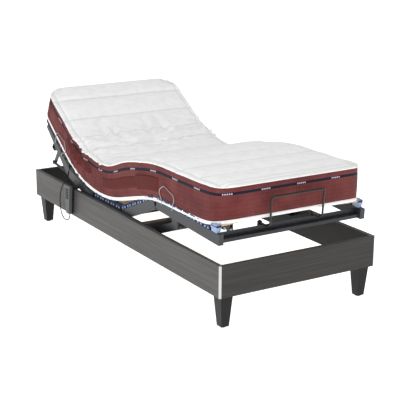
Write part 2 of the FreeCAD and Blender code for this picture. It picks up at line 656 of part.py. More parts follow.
def sync_rods():
    """Two push rods: a round eye on the lever's stub, a slotted eye on the seat frame's stud."""
    rods = []
    for side in (1, -1):
        middle = f"{side} * sync_x"
        x0, x1 = f"{middle} - sync_plate / 2", f"{middle} + sync_plate / 2"
        slot_far, slot_near = f"-({ROD_REACH}) - 8", f"-({ROD_REACH}) - 8 + sync_slot"
        bar = round_y(middle, slot_near, "-10", 0, "sync_radius")
        eye = cylinder(x0, x1, 0, 0, "sync_eye")
        strap = block(x0, x1, slot_far, f"{slot_near} + 20", "-sync_eye", "sync_eye")
        nose = cylinder(x0, x1, slot_far, 0, "sync_eye")
        hole = cylinder(f"{x0} - 9", f"{x1} + 9", 0, 0, "stud_radius + pin_gap")
        slot = block(f"{x0} - 9", f"{x1} + 9", slot_far, slot_near, "-stud_radius - sync_play",
                     "stud_radius + sync_play")
        rounds = [cylinder(f"{x0} - 9", f"{x1} + 9", y, 0, "stud_radius + sync_play")
                  for y in (slot_far, slot_near)]
        rods.append(cut(fuse([bar, eye, strap, nose]), [hole, slot] + rounds))
    return rods


node("sync_rods", put("sync", group(sync_rods())))

# ---- leg lift frame ----------------------------------------------------------------------------

ARM_REACH = f"sqrt(({HANGER[0]} - lift_y)^2 + ({HANGER[1]} - lift_z)^2)"
LIFT_TURN = "(thigh_rise * 0.9516)"


def leg_lift_frame():
    """Torque tube with two arms to the calf section and a lever that the leg drive pushes."""
    inner, outer = "arm_outer - arm_thick", "arm_outer"
    arms = both(block, inner, outer, f"-({ARM_REACH})", "0", "-arm_height / 2", "arm_height / 2")
    ends = both(cylinder, inner, outer, "0", "0", "arm_height / 2")
    ends += both(cylinder, inner, outer, f"-({ARM_REACH})", "0", "arm_height / 2")
    tube = cut(cylinder(less(inner), inner, "0", "0", "torque_radius"),
               [cylinder(less(f"({inner} + 1)"), f"{inner} + 1", "0", "0", "torque_radius - 2.5")])
    angle = f"({LIFT_TURN} - 16.65)"
    turn = SECTIONS["leg_lift"][2]
    # the lever's direction in the frame's own axes: it stands near upright when the bed is raised
    down = f"({angle} * 1 deg + {turn})"
    lever_y = f"(-leg_lever * sin({down}))"
    lever_z = f"(-leg_lever * cos({down}))"
    cheeks = []
    for hand in (1, -1):
        near = f"leg_drive_x + {hand} * (eye_thick / 2 + 1)"
        far = f"{near} + {hand} * lever_thick"
        x0, x1 = (near, far) if hand > 0 else (far, near)
        cheeks.append(strut(x0, x1, "0", "0", lever_y, lever_z, 24))
        cheeks.append(cylinder(x0, x1, lever_y, lever_z, 12))
    cross_pin = cylinder("leg_drive_x - eye_thick / 2 - 2", "leg_drive_x + eye_thick / 2 + 2",
                         lever_y, lever_z, "pin_radius")
    bores = both(cylinder, f"{inner} - 6", f"{outer} + 1", "0", "0", "stub_radius + pin_gap")
    bores += both(cylinder, f"{inner} - 1", f"{outer} + 1", f"-({ARM_REACH})", "0",
                  "bush_radius - 4")
    core = cylinder(less(f"({inner} + 1)"), f"{inner} + 1", "0", "0", "torque_radius - 2.5")
    return cut(fuse(arms + ends + [tube] + cheeks + [cross_pin]), bores + [core])


node("leg_lift_frame", put("leg_lift", leg_lift_frame()))


def link_bushes():
    """White nylon bushes in the arm ends, with a flange between the arm and the hanger."""
    bushes = []
    for side in (1, -1):
        xs = [f"{side} * (arm_outer - arm_thick)", f"{side} * arm_outer", f"{side} * (arm_outer + 3)"]
        ordered = xs if side > 0 else xs[::-1]
        if side > 0:
            sleeve = cylinder(xs[0], xs[1], f"-({ARM_REACH})", "0", "bush_radius - 4")
            flange = cylinder(xs[1], xs[2], f"-({ARM_REACH})", "0", "bush_radius")
        else:
            sleeve = cylinder(xs[1], xs[0], f"-({ARM_REACH})", "0", "bush_radius - 4")
            flange = cylinder(xs[2], xs[1], f"-({ARM_REACH})", "0", "bush_radius")
        bore = cylinder(f"{ordered[0]} - 1", f"{ordered[2]} + 1", f"-({ARM_REACH})", "0",
                        "stub_radius + 2")
        bushes.append(cut(fuse([sleeve, flange]), [bore]))
    return bushes


node("link_bushes", put("leg_lift", group(link_bushes())))

# ---- actuators ---------------------------------------------------------------------------------

MEMBER_LOW = f"({SHELF_TOP} - angle_thick - member_height)"


def actuator(prefix, x, z, start, direction, pin_y, stroke_back):
    """A spindle drive along Y: gearbox, motor and guide tube, and the rod with its slotted eye.

    start is the face of the cross member that it is bolted to; pin_y is where the lever's pin is.
    """
    def along(a, b):
        return (f"{start} + {a}", f"{start} + {b}") if direction > 0 else (
            f"{start} - ({b})", f"{start} - ({a})")

    gearbox = block(f"{x} - gearbox_width / 2", f"{x} + gearbox_width / 2",
                    *along("0", "gearbox_depth"), f"{z} - 30", f"{z} - 30 + gearbox_height")
    mount = block(f"{x} - 30", f"{x} + 30", *along("0", "8"), f"{z} - 30", f"{MEMBER_LOW} + 30")
    tube_end = f"({pin_y} - {start}) * {direction} - 24 - {stroke_back}"
    tube = round_y(x, *along("gearbox_depth - 5", tube_end), z, "tube_radius")
    motor = round_y(f"{x} + 0", *along("gearbox_depth", "gearbox_depth + 1"), z, "tube_radius + 4")
    bore = round_y(x, *along("gearbox_depth - 62", f"{tube_end} + 5"), z, "rod_radius + tube_gap")
    can = cylinder(f"{x} + gearbox_width / 2 - 1", f"{x} + gearbox_width / 2 + motor_length",
                   along("gearbox_depth / 2", "gearbox_depth / 2")[0], z, "motor_radius")
    housing = cut(fuse([gearbox, mount, tube, motor, can]), [bore])
    rod_start = "gearbox_depth - 24"
    rod_end = f"(({pin_y} - {start}) * {direction} - 24)"
    rod = round_y(x, *along(rod_start, rod_end), z, "rod_radius")
    neck = block(f"{x} - eye_thick / 2", f"{x} + eye_thick / 2",
                 *along(f"{rod_end} - 2", f"({pin_y} - {start}) * {direction}"), f"{z} - 8", f"{z} + 8")
    eye = cylinder(f"{x} - eye_thick / 2", f"{x} + eye_thick / 2", pin_y, z, "eye_radius")
    slot = block(f"{x} - 20", f"{x} + 20", f"{pin_y} - pin_radius - 0.8",
                 f"{pin_y} + pin_radius + 0.8", f"{z} - pin_radius - slot_play",
                 f"{z} + pin_radius + slot_play")
    node(prefix + "_drive", housing)
    node(prefix + "_push_rod", cut(fuse([rod, neck, eye]), [slot]))


BACK_PIN_Y = "(back_pivot_y + back_lever * sin(back_rise - 15))"
LEG_PIN_Y = f"(lift_y - leg_lever * sin({LIFT_TURN} - 16.65))"
actuator("back", "back_drive_x", "drive_z", "(front_member_y + member_width / 2)", 1, BACK_PIN_Y, 30)
actuator("leg", "leg_drive_x", "leg_drive_z", "(rear_member_y - member_width / 2)", -1, LEG_PIN_Y,
         26)

# ---- mattress retainers -------------------------------------------------------------------------

def bent_rod(points, radius, bend):
    """A round bar bent through the points given, all its bends with one radius."""
    edges = []
    here = points[0]
    for before, corner, after in zip(points, points[1:], points[2:]):
        into, out = (before - corner).normalize(), (after - corner).normalize()
        half = into.getAngle(out) / 2
        reach = bend / math.tan(half)
        start, end = corner + into * reach, corner + out * reach
        middle_way = (into + out).normalize()
        middle = corner + middle_way * (bend / math.sin(half) - bend)
        if (start - here).Length > 0.01:
            edges.append(Part.LineSegment(here, start).toShape())
        edges.append(Part.Arc(start, middle, end).toShape())
        here = end
    edges.append(Part.LineSegment(here, points[-1]).toShape())
    path = Part.Wire(edges)
    ring = Part.Wire([Part.makeCircle(radius, points[0], points[1] - points[0])])
    return path.makePipeShell([ring], True, False)


def shape_node(label, shape, section):
    item = document.addObject("Part::Feature", label)
    item.Shape = shape
    put(section, item)
    return node(label, item)


def foot_retainer():
    """The hoop at the foot end that keeps the mattress from sliding down."""
    end = -(sheet.knee_y - sheet.calf_end)
    low = sheet.deck_top - sheet.knee_z - sheet.rail_height
    out_y, back_y = end - sheet.retainer_out, end + sheet.retainer_back
    web_top = low + 45
    left, right = -sheet.retainer_half + sheet.retainer_shift, sheet.retainer_half + sheet.retainer_shift
    top = low + sheet.retainer_top
    points = []
    for x, order in ((left, 1), (right, -1)):
        leg = [Vector(x, back_y, web_top + 7), Vector(x, end + 4, web_top + 7.5),
               Vector(x, out_y + 2, web_top + 21), Vector(x, out_y, top)]
        points += leg[::order]
    return bent_rod(points, sheet.retainer_radius, 12)


shape_node("foot_retainer", foot_retainer(), "calf")


def retainer_clamps():
    """Clamps behind the foot bar that hold the ends of the hoop."""
    end, web_top = less(CALF_LENGTH), f"({CALF_TOP} - rail_height + 45)"
    clamps = []
    for side in (1, -1):
        middle = f"({side} * retainer_half + retainer_shift)"
        foot = block(f"{middle} - 9", f"{middle} + 9", f"{end} + 38", f"{end} + 60",
                     f"{web_top} - 26", f"{web_top} + 1")
        stop = block(f"{middle} - 9", f"{middle} + 9", f"{end} + retainer_back + 0.2", f"{end} + 60",
                     f"{web_top}", f"{web_top} + 14")
        knob = round_z(middle, f"{end} + retainer_back + 7.5", f"{web_top} + 13", f"{web_top} + 17", 7)
        clamps.append(fuse([foot, stop, knob]))
    return clamps


node("retainer_clamps", put("calf", group(retainer_clamps())))


def side_hoop(near, far, base, height, way):
    """A bent wire loop at each side that keeps the mattress from sliding sideways.

    near is the leg next to the hinge, and way is +1 or -1, from near to far along Y.
    """
    hoops = []
    for side in (1, -1):
        foot_x = side * (DECK_HALF + sheet.wire_radius + 0.1)
        out_x = side * (DECK_HALF + 3.2)
        points = [Vector(foot_x, near, base), Vector(foot_x, near, base + 24),
                  Vector(out_x, near - way * 34, base + 64),
                  Vector(out_x, near + way * 18, base + height),
                  Vector(out_x, far + way * 26, base + 72),
                  Vector(foot_x, far, base + 22), Vector(foot_x, far, base)]
        hoops.append(bent_rod(points, sheet.wire_radius, 24))
    return Part.makeCompound(hoops)


calf_top = sheet.deck_top - sheet.knee_z
upper_top = sheet.deck_top - sheet.upper_pivot_z
shape_node("calf_side_hoops", side_hoop(-60, -160, calf_top - 12, 100, -1), "calf")
shape_node("back_side_hoops", side_hoop(110, 210, upper_top - 12, 100, 1), "upper_back")

# ---- mattress: one slab on each section, cut back to leave room for the bends --------------------

def slab(section, y0, y1, top, lean_start, lean_end):
    """A mattress slab; a lean is how far the upper edge of an end face is cut back, in degrees."""
    low = sheet.get(top[0]) - (sheet.get(top[1]) if top[1] else 0) + sheet.mattress_base
    high = low + sheet.mattress_height
    y_start, y_end = y0 + sheet.mattress_split, y1 - sheet.mattress_split
    outline = [Vector(0, y_start + low * math.tan(math.radians(lean_start)), low),
               Vector(0, y_end - low * math.tan(math.radians(lean_end)), low),
               Vector(0, y_end - high * math.tan(math.radians(lean_end)), high),
               Vector(0, y_start + high * math.tan(math.radians(lean_start)), high)]
    half = MATTRESS_HALF
    outline = [Vector(-half, point.y, point.z) for point in outline]
    face = Part.Face(Part.makePolygon(outline + outline[:1]))
    return face.extrude(Vector(2 * half, 0, 0))


THIGH_LEAN, BACK_LEAN, UPPER_LEAN = 17.5, 15, 21.5


def mattress():
    """Slabs for the seat, thigh, calf, lower and upper back."""
    # the seat slab is drawn in the bed's own axes, so its leans count from the hinge lines
    low, high = sheet.deck_top + sheet.mattress_base, 0
    high = low + sheet.mattress_height
    front, rear = sheet.thigh_pivot_y + sheet.mattress_split, sheet.back_pivot_y - sheet.mattress_split

    def back_off(height, pivot, lean):
        return (height - pivot) * math.tan(math.radians(lean))

    half = MATTRESS_HALF
    outline = [Vector(-half, front + back_off(low, sheet.thigh_pivot_z, THIGH_LEAN), low),
               Vector(-half, rear - back_off(low, sheet.back_pivot_z, BACK_LEAN), low),
               Vector(-half, rear - back_off(high, sheet.back_pivot_z, BACK_LEAN), high),
               Vector(-half, front + back_off(high, sheet.thigh_pivot_z, THIGH_LEAN), high)]
    seat = Part.Face(Part.makePolygon(outline + outline[:1])).extrude(Vector(2 * half, 0, 0))
    shape_node("mattress_seat", seat, "seat")
    to_knee = sheet.knee_y - sheet.thigh_pivot_y
    to_upper = sheet.upper_pivot_y - sheet.back_pivot_y
    shape_node("mattress_thigh", slab("thigh", to_knee, 0, ("deck_top", "thigh_pivot_z"), 0,
                                      THIGH_LEAN), "thigh")
    calf = slab("calf", sheet.mattress_foot - sheet.knee_y, 0, ("deck_top", "knee_z"), 0, 0)
    # its foot end is hollowed out where the raised last slat lies
    step = Part.makeBox(2 * half, 200, sheet.foot_slat_raise + 2,
                        Vector(-half, -490 - 200, calf.BoundBox.ZMin - 1))
    shape_node("mattress_calf", calf.cut(step), "calf")
    # the far end of the lower back slab leans about the upper hinge line, a little higher up
    shape_node("mattress_lower_back", slab("lower_back", 0, to_upper, ("deck_top", "back_pivot_z"),
                                           BACK_LEAN, UPPER_LEAN), "lower_back")
    shape_node("mattress_upper_back", slab("upper_back", 0, sheet.mattress_head - sheet.upper_pivot_y,
                                           ("deck_top", "upper_pivot_z"), UPPER_LEAN, 0),
               "upper_back")


mattress()

# ---- handset -------------------------------------------------------------------------------------

HAND_X = "(-frame_width / 2 - 1.2)"


def handset_wedge(inset, x0, x1):
    """The handset's outline: broad at the top, narrow at the bottom, its faces along X."""
    wedge = document.addObject("Part::Wedge", "Outline")
    for prop, text in dict(
            Xmin=f"-handset_narrow / 2 + {inset}", Xmax=f"handset_narrow / 2 - {inset}",
            Zmin="0", Zmax=f"({x1}) - ({x0})", X2min=f"-handset_wide / 2 + {inset}",
            X2max=f"handset_wide / 2 - {inset}", Z2min="0", Z2max=f"({x1}) - ({x0})", Ymin=inset,
            Ymax=f"handset_length - {inset}").items():
        wedge.setExpression(prop, formula(text))
    wedge.Placement = Placement(Vector(0, 0, 0), Rotation(Vector(1, 1, 1), 120))
    wedge.setExpression("Placement.Base.x", formula(x0))
    wedge.setExpression("Placement.Base.y", formula("handset_y"))
    wedge.setExpression("Placement.Base.z", formula("handset_top - handset_length"))
    return wedge


BUTTONS = ["back_up", "back_down", "legs_up", "legs_down", "both_up", "both_down", "flat", "light"]


def button_block(index, grow, x0, x1):
    column, row = index % 2, index // 2
    middle_y = f"(handset_y + {0.5 - column} * button_pitch_y)"
    middle_z = f"(handset_top - button_top - {row} * button_pitch_z)"
    size = f"(button_size / 2 + {grow})"
    return block(x0, x1, f"{middle_y} - {size}", f"{middle_y} + {size}", f"{middle_z} - {size} * 0.8",
                 f"{middle_z} + {size} * 0.8")


def handset():
    back_face, split = HAND_X, f"({HAND_X} - handset_back)"
    front_face = f"({split} - handset_front)"
    front = cut(handset_wedge("0", front_face, split),
                [handset_wedge("handset_wall", f"{front_face} + handset_wall", f"{split} + 1")]
                + [button_block(index, "button_gap", f"{front_face} - 1",
                                f"{front_face} + handset_wall + 1") for index in range(len(BUTTONS))])
    node("handset_front_shell", front)
    shell = cut(handset_wedge("0", split, back_face),
                [handset_wedge("handset_wall", f"{split} - 1", f"{back_face} - handset_wall")])
    y0, y1 = "handset_y - hook_width / 2", "handset_y + hook_width / 2"
    over = block(f"{back_face} - 3", f"{less(PANEL_FACE)} + hook_gap + hook_thick", y0, y1,
                 "panel_floor + panel_height + 1", "panel_floor + panel_height + 1 + hook_thick")
    down = block(f"{less(PANEL_FACE)} + hook_gap", f"{less(PANEL_FACE)} + hook_gap + hook_thick", y0,
                 y1, "panel_floor + panel_height - hook_drop",
                 "panel_floor + panel_height + 1 + hook_thick")
    node("handset_back_shell", fuse([shell, over, down]))
    for index, name in enumerate(BUTTONS):
        cap = button_block(index, "0", f"{front_face} - button_rise",
                           f"{front_face} + handset_wall + 1.5")
        node("button_" + name, cap)


handset()

node("control_box", block(
    f"{less(PANEL_FACE)} + 0", f"{less(PANEL_FACE)} + box_wide", "box_y - box_long / 2",
    "box_y + box_long / 2", "box_z", "box_z + box_high"))

# The handset's cord: out of its lower end, round in a loop at the panel's outer face, over the
# panel's top edge and down inside to the control box.  Each point is a corner of the route.
CORD = [Vector(*point) for point in (
    (-452, 505, 167.8), (-452, 507, 146), (-455, 522, 126), (-459, 552, 118), (-461, 586, 132),
    (-461, 608, 165), (-460, 617, 208), (-458, 614, 250), (-456, 600, 287), (-453, 578, 317),
    (-443, 562, 334), (-424, 552, 333), (-413.6, 546, 315), (-413.2, 543, 288), (-413, 540, 258),
    (-409, 536, 232), (-401, 529, 211), (-393, 519, 196), (-390, 505.3, 190))]


def cord_tube(points, radius):
    """Straight runs joined by tangent arcs, each arc as large as its two runs allow."""
    edges, radii = [], []
    here = points[0]
    for before, corner, after in zip(points, points[1:], points[2:]):
        into, out = before - corner, after - corner
        run = min(into.Length, out.Length)
        turn = math.pi - into.getAngle(out)
        bend = 0.45 * run / math.tan(turn / 2)
        into.normalize()
        out.normalize()
        start, end = corner + into * 0.45 * run, corner + out * 0.45 * run
        half = (math.pi - turn) / 2
        middle = corner + (into + out).normalize() * (bend / math.sin(half) - bend)
        edges.append(Part.LineSegment(here, start).toShape())
        edges.append(Part.Arc(start, middle, end).toShape())
        radii.append(round(bend, 1))
        here = end
    edges.append(Part.LineSegment(here, points[-1]).toShape())
    path = Part.Wire(edges)
    ring = Part.Wire([Part.makeCircle(radius, points[0], points[1] - points[0])])
    tube = path.makePipeShell([ring], True, False)
    print("cord radii", radii, "length", round(path.Length, 1), "volume ratio",
          round(tube.Volume / (math.pi * radius ** 2 * path.Length), 4))
    return tube


shape_node("handset_cord", cord_tube(CORD, sheet.cord_radius), "seat")

# ---- check and write -----------------------------------------------------------------------------

document.recompute()
for item in document.Objects:
    if "Invalid" in item.State or "Error" in item.State:
        raise SystemExit(f"{item.Name} ({item.Label}) failed: {item.State}")
os.makedirs("parts", exist_ok=True)
for item in nodes:
    if item.Shape.isNull() or not item.Shape.isValid():
        raise SystemExit(f"{item.Label} has no valid shape")
    item.Shape.exportStep(f"parts/{item.Label}.step")
print(len(nodes), "sub-parts written")
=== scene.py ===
import bpy, bmesh, json, math
from mathutils import Matrix, Vector, noise


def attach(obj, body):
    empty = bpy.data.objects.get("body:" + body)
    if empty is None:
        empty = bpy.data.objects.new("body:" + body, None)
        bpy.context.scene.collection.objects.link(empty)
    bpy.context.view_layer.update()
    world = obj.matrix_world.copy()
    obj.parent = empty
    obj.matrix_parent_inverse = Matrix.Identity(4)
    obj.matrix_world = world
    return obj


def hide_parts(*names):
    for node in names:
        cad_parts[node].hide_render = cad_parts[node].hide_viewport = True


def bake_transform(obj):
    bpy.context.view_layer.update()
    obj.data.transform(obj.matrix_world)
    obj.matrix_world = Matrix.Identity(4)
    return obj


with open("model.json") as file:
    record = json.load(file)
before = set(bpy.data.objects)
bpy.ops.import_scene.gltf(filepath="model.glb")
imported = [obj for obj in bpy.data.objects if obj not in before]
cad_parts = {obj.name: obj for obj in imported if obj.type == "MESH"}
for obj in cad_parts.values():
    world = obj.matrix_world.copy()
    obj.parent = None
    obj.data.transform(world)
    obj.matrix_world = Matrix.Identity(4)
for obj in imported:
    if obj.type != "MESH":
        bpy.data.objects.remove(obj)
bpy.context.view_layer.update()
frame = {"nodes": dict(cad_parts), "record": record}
NODES = frame["nodes"]

# ---- Camera, floor and studio light -------------------------------------------------------------
# A long portrait lens looks down from the foot end, over the sleeper's right-hand side.  The
# floor is seamless white paper, and two big soft boxes light it from above and from the left.

camera = bpy.data.objects.new("camera", bpy.data.cameras.new("camera"))
camera.data.lens = 99.25
camera.data.sensor_width = 36
camera.data.clip_end = 60
camera.matrix_world = (Matrix.Translation((-2.8845, -4.8071, 1.8923))
                       @ Matrix.Rotation(math.radians(-31.61), 4, "Z")
                       @ Matrix.Rotation(math.radians(90 - 15.85), 4, "X")
                       @ Matrix.Rotation(math.radians(0.29), 4, "Z"))
bpy.context.scene.collection.objects.link(camera)
bpy.context.scene.camera = camera


def colour(code):
    """A sRGB hex value as linear light."""
    parts = [int(code[i:i + 2], 16) / 255 for i in (1, 3, 5)]
    return [p / 12.92 if p <= 0.04045 else ((p + 0.055) / 1.055) ** 2.4 for p in parts] + [1.0]


def finish(name):
    """A new material with its shader."""
    made = bpy.data.materials.new(name)
    made.use_nodes = True
    return made, made.node_tree.nodes["Principled BSDF"]


def add(made, kind, inputs=None, **settings):
    """Add a shader node, with its settings, and its inputs as values or as sockets to link."""
    item = made.node_tree.nodes.new("ShaderNode" + kind)
    for key, value in settings.items():
        setattr(item, key, value)
    for key, value in (inputs or {}).items():
        if isinstance(value, bpy.types.NodeSocket):
            made.node_tree.links.new(value, item.inputs[key])
        else:
            item.inputs[key].default_value = value
    return item


def feed(made, shader, **sockets):
    """Link sockets to the shader's inputs; an underscore stands for a space."""
    for key, value in sockets.items():
        made.node_tree.links.new(value, shader.inputs[key.replace("_", " ")])


def piece(name, mesh_builder, *materials, smooth=True):
    """A new object from a bmesh, with its materials."""
    mesh = bpy.data.meshes.new(name)
    mesh_builder.to_mesh(mesh)
    mesh_builder.free()
    made = bpy.data.objects.new(name, mesh)
    bpy.context.scene.collection.objects.link(made)
    for material in materials:
        mesh.materials.append(material)
    mesh.shade_smooth() if smooth else mesh.shade_flat()
    return made


def dress(material, *names):
    """Give carried-over CAD nodes a finish."""
    for name in names:
        slots = NODES[name].data.materials
        slots.clear()
        slots.append(material)


paper, paper_shader = finish("seamless_paper")
paper_grain = add(paper, "TexNoise", {"Scale": 30.0, "Detail": 2.0})
paper_tone = add(paper, "ValToRGB", {"Fac": paper_grain.outputs["Fac"]})
paper_tone.color_ramp.elements[0].color = colour("#F4F4F4")
paper_tone.color_ramp.elements[1].color = colour("#FAFAFA")
feed(paper, paper_shader, Base_Color=paper_tone.outputs["Color"])
paper_shader.inputs["Roughness"].default_value = 0.9
# lit from beneath as well, like a light table, so that it stays white without shadows
paper_shader.inputs["Emission Color"].default_value = (1, 1, 1, 1)
paper_shader.inputs["Emission Strength"].default_value = 0.95
floor_mesh = bmesh.new()
bmesh.ops.create_circle(floor_mesh, cap_ends=True, segments=64, radius=30)
floor = piece("floor", floor_mesh, paper)

world = bpy.data.worlds.new("studio")
bpy.context.scene.world = world
world.use_nodes = True
world.node_tree.nodes["Background"].inputs["Color"].default_value = (1, 1, 1, 1)
world.node_tree.nodes["Background"].inputs["Strength"].default_value = 0.55
bpy.context.scene.view_settings.view_transform = "Standard"

LIGHT_AIM = (0, 0, 0.4)
for light_name, place, size, power in (("soft_box_top", (-1.2, -1.6, 4.2), 3.5, 62),
                                       ("soft_box_left", (-4.5, -1.0, 2.2), 2.5, 22)):
    box = bpy.data.objects.new(light_name, bpy.data.lights.new(light_name, "AREA"))
    box.data.shape, box.data.size, box.data.energy = "SQUARE", size, power
    box.location = place
    box.rotation_euler = (Vector(place) - Vector(LIGHT_AIM)).to_track_quat("Z", "Y").to_euler()
    bpy.context.scene.collection.objects.link(box)

# ---- Handset cord -------------------------------------------------------------------------------
# A round rubber-jacketed lead, 5.2 mm thick.  It hangs out of the handset's narrow end in a loop
# and goes back over the side board to the control box inside.

CORD_ROUTE = [(-0.452, 0.505, 0.1678), (-0.452, 0.507, 0.146), (-0.455, 0.522, 0.126),
              (-0.459, 0.552, 0.118), (-0.461, 0.586, 0.132), (-0.461, 0.608, 0.165),
              (-0.460, 0.617, 0.208), (-0.458, 0.614, 0.250), (-0.456, 0.600, 0.287),
              (-0.453, 0.578, 0.317), (-0.443, 0.562, 0.334), (-0.424, 0.552, 0.333),
              (-0.4136, 0.546, 0.315), (-0.4132, 0.543, 0.288), (-0.413, 0.540, 0.258),
              (-0.409, 0.536, 0.232), (-0.401, 0.529, 0.211), (-0.393, 0.519, 0.196),
              (-0.390, 0.5053, 0.190)]

jacket, jacket_shader = finish("black_pvc_cord_jacket")
# Extruded PVC: satin, with a slightly uneven skin.
jacket_shader.inputs["Base Color"].default_value = colour("#080808")
jacket_shader.inputs["Specular IOR Level"].default_value = 0.15
jacket_place = add(jacket, "TexCoord")
jacket_skin = add(jacket, "TexNoise", {"Vector": jacket_place.outputs["Object"], "Scale": 400.0})
jacket_bump = add(jacket, "Bump", {"Height": jacket_skin.outputs["Fac"], "Strength": 0.15,
                                   "Distance": 0.0005})
jacket_gloss = add(jacket, "MapRange", {"Value": jacket_skin.outputs["Fac"], "To Min": 0.4,
                                        "To Max": 0.55})
feed(jacket, jacket_shader, Normal=jacket_bump.outputs["Normal"],
     Roughness=jacket_gloss.outputs["Result"])

cord_curve = bpy.data.curves.new("handset_lead", "CURVE")
cord_curve.dimensions = "3D"
cord_curve.bevel_depth = 0.0026
cord_curve.bevel_resolution = 3
cord_curve.resolution_u = 8
cord_curve.use_fill_caps = True
cord_line = cord_curve.splines.new("NURBS")
cord_line.points.add(len(CORD_ROUTE) - 1)
for spot, point in zip(cord_line.points, CORD_ROUTE):
    spot.co = (*point, 1)
cord_line.order_u = 3
cord_line.use_endpoint_u = True
cord_curve.materials.append(jacket)
cord = bpy.data.objects.new("handset_lead", cord_curve)
bpy.context.scene.collection.objects.link(cord)
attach(cord, "base")
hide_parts("handset_cord")

# ---- Surround boards ----------------------------------------------------------------------------
# Particle board, 22 mm thick, mitred at the corners.  The outside and the edges carry a dark
# grey printed film with a straight horizontal grain; the inside is backed in near black.


# Half the bed's width and length outside, and the thickness of a board without its inner skin.
HALF_ACROSS, HALF_ALONG, BOARD = 0.4385, 1.0, 0.0219


def board_film(name, along, light, dark):
    """Printed wood-grain film; along says how much finer the grain is along X, Y and Z."""
    film, shader = finish(name)
    place = add(film, "TexCoord")
    stretch = add(film, "Mapping", {"Vector": place.outputs["Object"], "Scale": along})
    fine = add(film, "TexNoise", {"Vector": stretch.outputs["Vector"], "Scale": 1.0, "Detail": 6.0,
                                  "Roughness": 0.65})
    broad = add(film, "TexNoise", {"Vector": stretch.outputs["Vector"], "Scale": 0.45,
                                   "Detail": 2.0})
    both = add(film, "Math", {0: fine.outputs["Fac"], 1: broad.outputs["Fac"]}, operation="ADD")
    ramp = add(film, "ValToRGB", {"Fac": add(film, "Math", {0: both.outputs[0], 1: 0.5},
                                             operation="MULTIPLY").outputs[0]})
    ramp.color_ramp.elements[0].position, ramp.color_ramp.elements[0].color = 0.38, colour(dark)
    ramp.color_ramp.elements[1].position, ramp.color_ramp.elements[1].color = 0.62, colour(light)
    spot = add(film, "SeparateXYZ", {"Vector": place.outputs["Object"]})
    inside = None
    for axis, edge in (("X", HALF_ACROSS - BOARD), ("Y", HALF_ALONG - BOARD)):
        size = add(film, "Math", {0: spot.outputs[axis]}, operation="ABSOLUTE")
        near = add(film, "Math", {0: size.outputs[0], 1: edge}, operation="LESS_THAN")
        inside = near if inside is None else add(
            film, "Math", {0: inside.outputs[0], 1: near.outputs[0]}, operation="MULTIPLY")
    backing = add(film, "Mix", {"Factor": inside.outputs[0], "A": ramp.outputs["Color"],
                                "B": colour("#0B0B0A")}, data_type="RGBA")
    bump = add(film, "Bump", {"Height": fine.outputs["Fac"], "Strength": 0.25,
                              "Distance": 0.0006})
    feed(film, shader, Base_Color=backing.outputs["Result"], Normal=bump.outputs["Normal"])
    shader.inputs["Roughness"].default_value = 0.48
    shader.inputs["Specular IOR Level"].default_value = 0.25
    return film


# the end boards take the same printed film as the sides in darker tones: painted shade
side_film = board_film("grey_wood_film_sides", (60, 4, 160), "#555352", "#403F3E")
end_film_painted_shade = board_film("grey_wood_film_ends_painted_shade", (4, 60, 160), "#3C3A38", "#2D2B2A")
dress(side_film, "side_panel_left", "side_panel_right")
dress(end_film_painted_shade, "foot_panel", "head_panel")

# ---- Corner trims, legs and glides --------------------------------------------------------------
# Satin anodised aluminium profiles wrap the corners.  The legs are solid beech, stained black
# and lacquered, on moulded glides.

anodised, anodised_shader = finish("satin_anodised_aluminium")
anodised_place = add(anodised, "TexCoord")
anodised_lines = add(anodised, "TexNoise", {
    "Vector": add(anodised, "Mapping", {"Vector": anodised_place.outputs["Object"],
                                        "Scale": (900, 900, 20)}).outputs["Vector"],
    "Scale": 1.0, "Detail": 2.0})
anodised_gloss = add(anodised, "MapRange", {"Value": anodised_lines.outputs["Fac"],
                                            "To Min": 0.3, "To Max": 0.45})
feed(anodised, anodised_shader, Roughness=anodised_gloss.outputs["Result"])
anodised_shader.inputs["Base Color"].default_value = colour("#B9BABB")
anodised_shader.inputs["Metallic"].default_value = 1.0
dress(anodised, "corner_trims")

stained, stained_shader = finish("black_stained_beech")
stained_place = add(stained, "TexCoord")
stained_grain = add(stained, "TexNoise", {
    "Vector": add(stained, "Mapping", {"Vector": stained_place.outputs["Object"],
                                       "Scale": (150, 150, 12)}).outputs["Vector"],
    "Scale": 1.0, "Detail": 5.0})
stained_tone = add(stained, "ValToRGB", {"Fac": stained_grain.outputs["Fac"]})
stained_tone.color_ramp.elements[0].position = 0.35
stained_tone.color_ramp.elements[0].color = colour("#0D0C0C")
stained_tone.color_ramp.elements[1].position = 0.7
stained_tone.color_ramp.elements[1].color = colour("#1A1818")
stained_bump = add(stained, "Bump", {"Height": stained_grain.outputs["Fac"], "Strength": 0.3,
                                     "Distance": 0.0008})
feed(stained, stained_shader, Base_Color=stained_tone.outputs["Color"],
     Normal=stained_bump.outputs["Normal"])
stained_shader.inputs["Roughness"].default_value = 0.42
stained_shader.inputs["Specular IOR Level"].default_value = 0.2
dress(stained, "leg_foot_left", "leg_foot_right", "leg_head_left", "leg_head_right")


def moulded(name, code, roughness, grain=900.0):
    """Injection-moulded plastic with a fine spark-eroded grain."""
    plastic, shader = finish(name)
    place = add(plastic, "TexCoord")
    spots = add(plastic, "TexNoise", {"Vector": place.outputs["Object"], "Scale": grain,
                                      "Detail": 2.0})
    shade = add(plastic, "Mix", {"Factor": spots.outputs["Fac"], "A": colour(code),
                                 "B": [c * 1.25 for c in colour(code)[:3]] + [1.0]},
                data_type="RGBA")
    bump = add(plastic, "Bump", {"Height": spots.outputs["Fac"], "Strength": 0.2,
                                 "Distance": 0.0003})
    feed(plastic, shader, Base_Color=shade.outputs["Result"], Normal=bump.outputs["Normal"])
    shader.inputs["Roughness"].default_value = roughness
    shader.inputs["Specular IOR Level"].default_value = 0.3
    return plastic


dress(moulded("black_nylon_glide", "#1A1A1A", 0.6), "leg_glides")

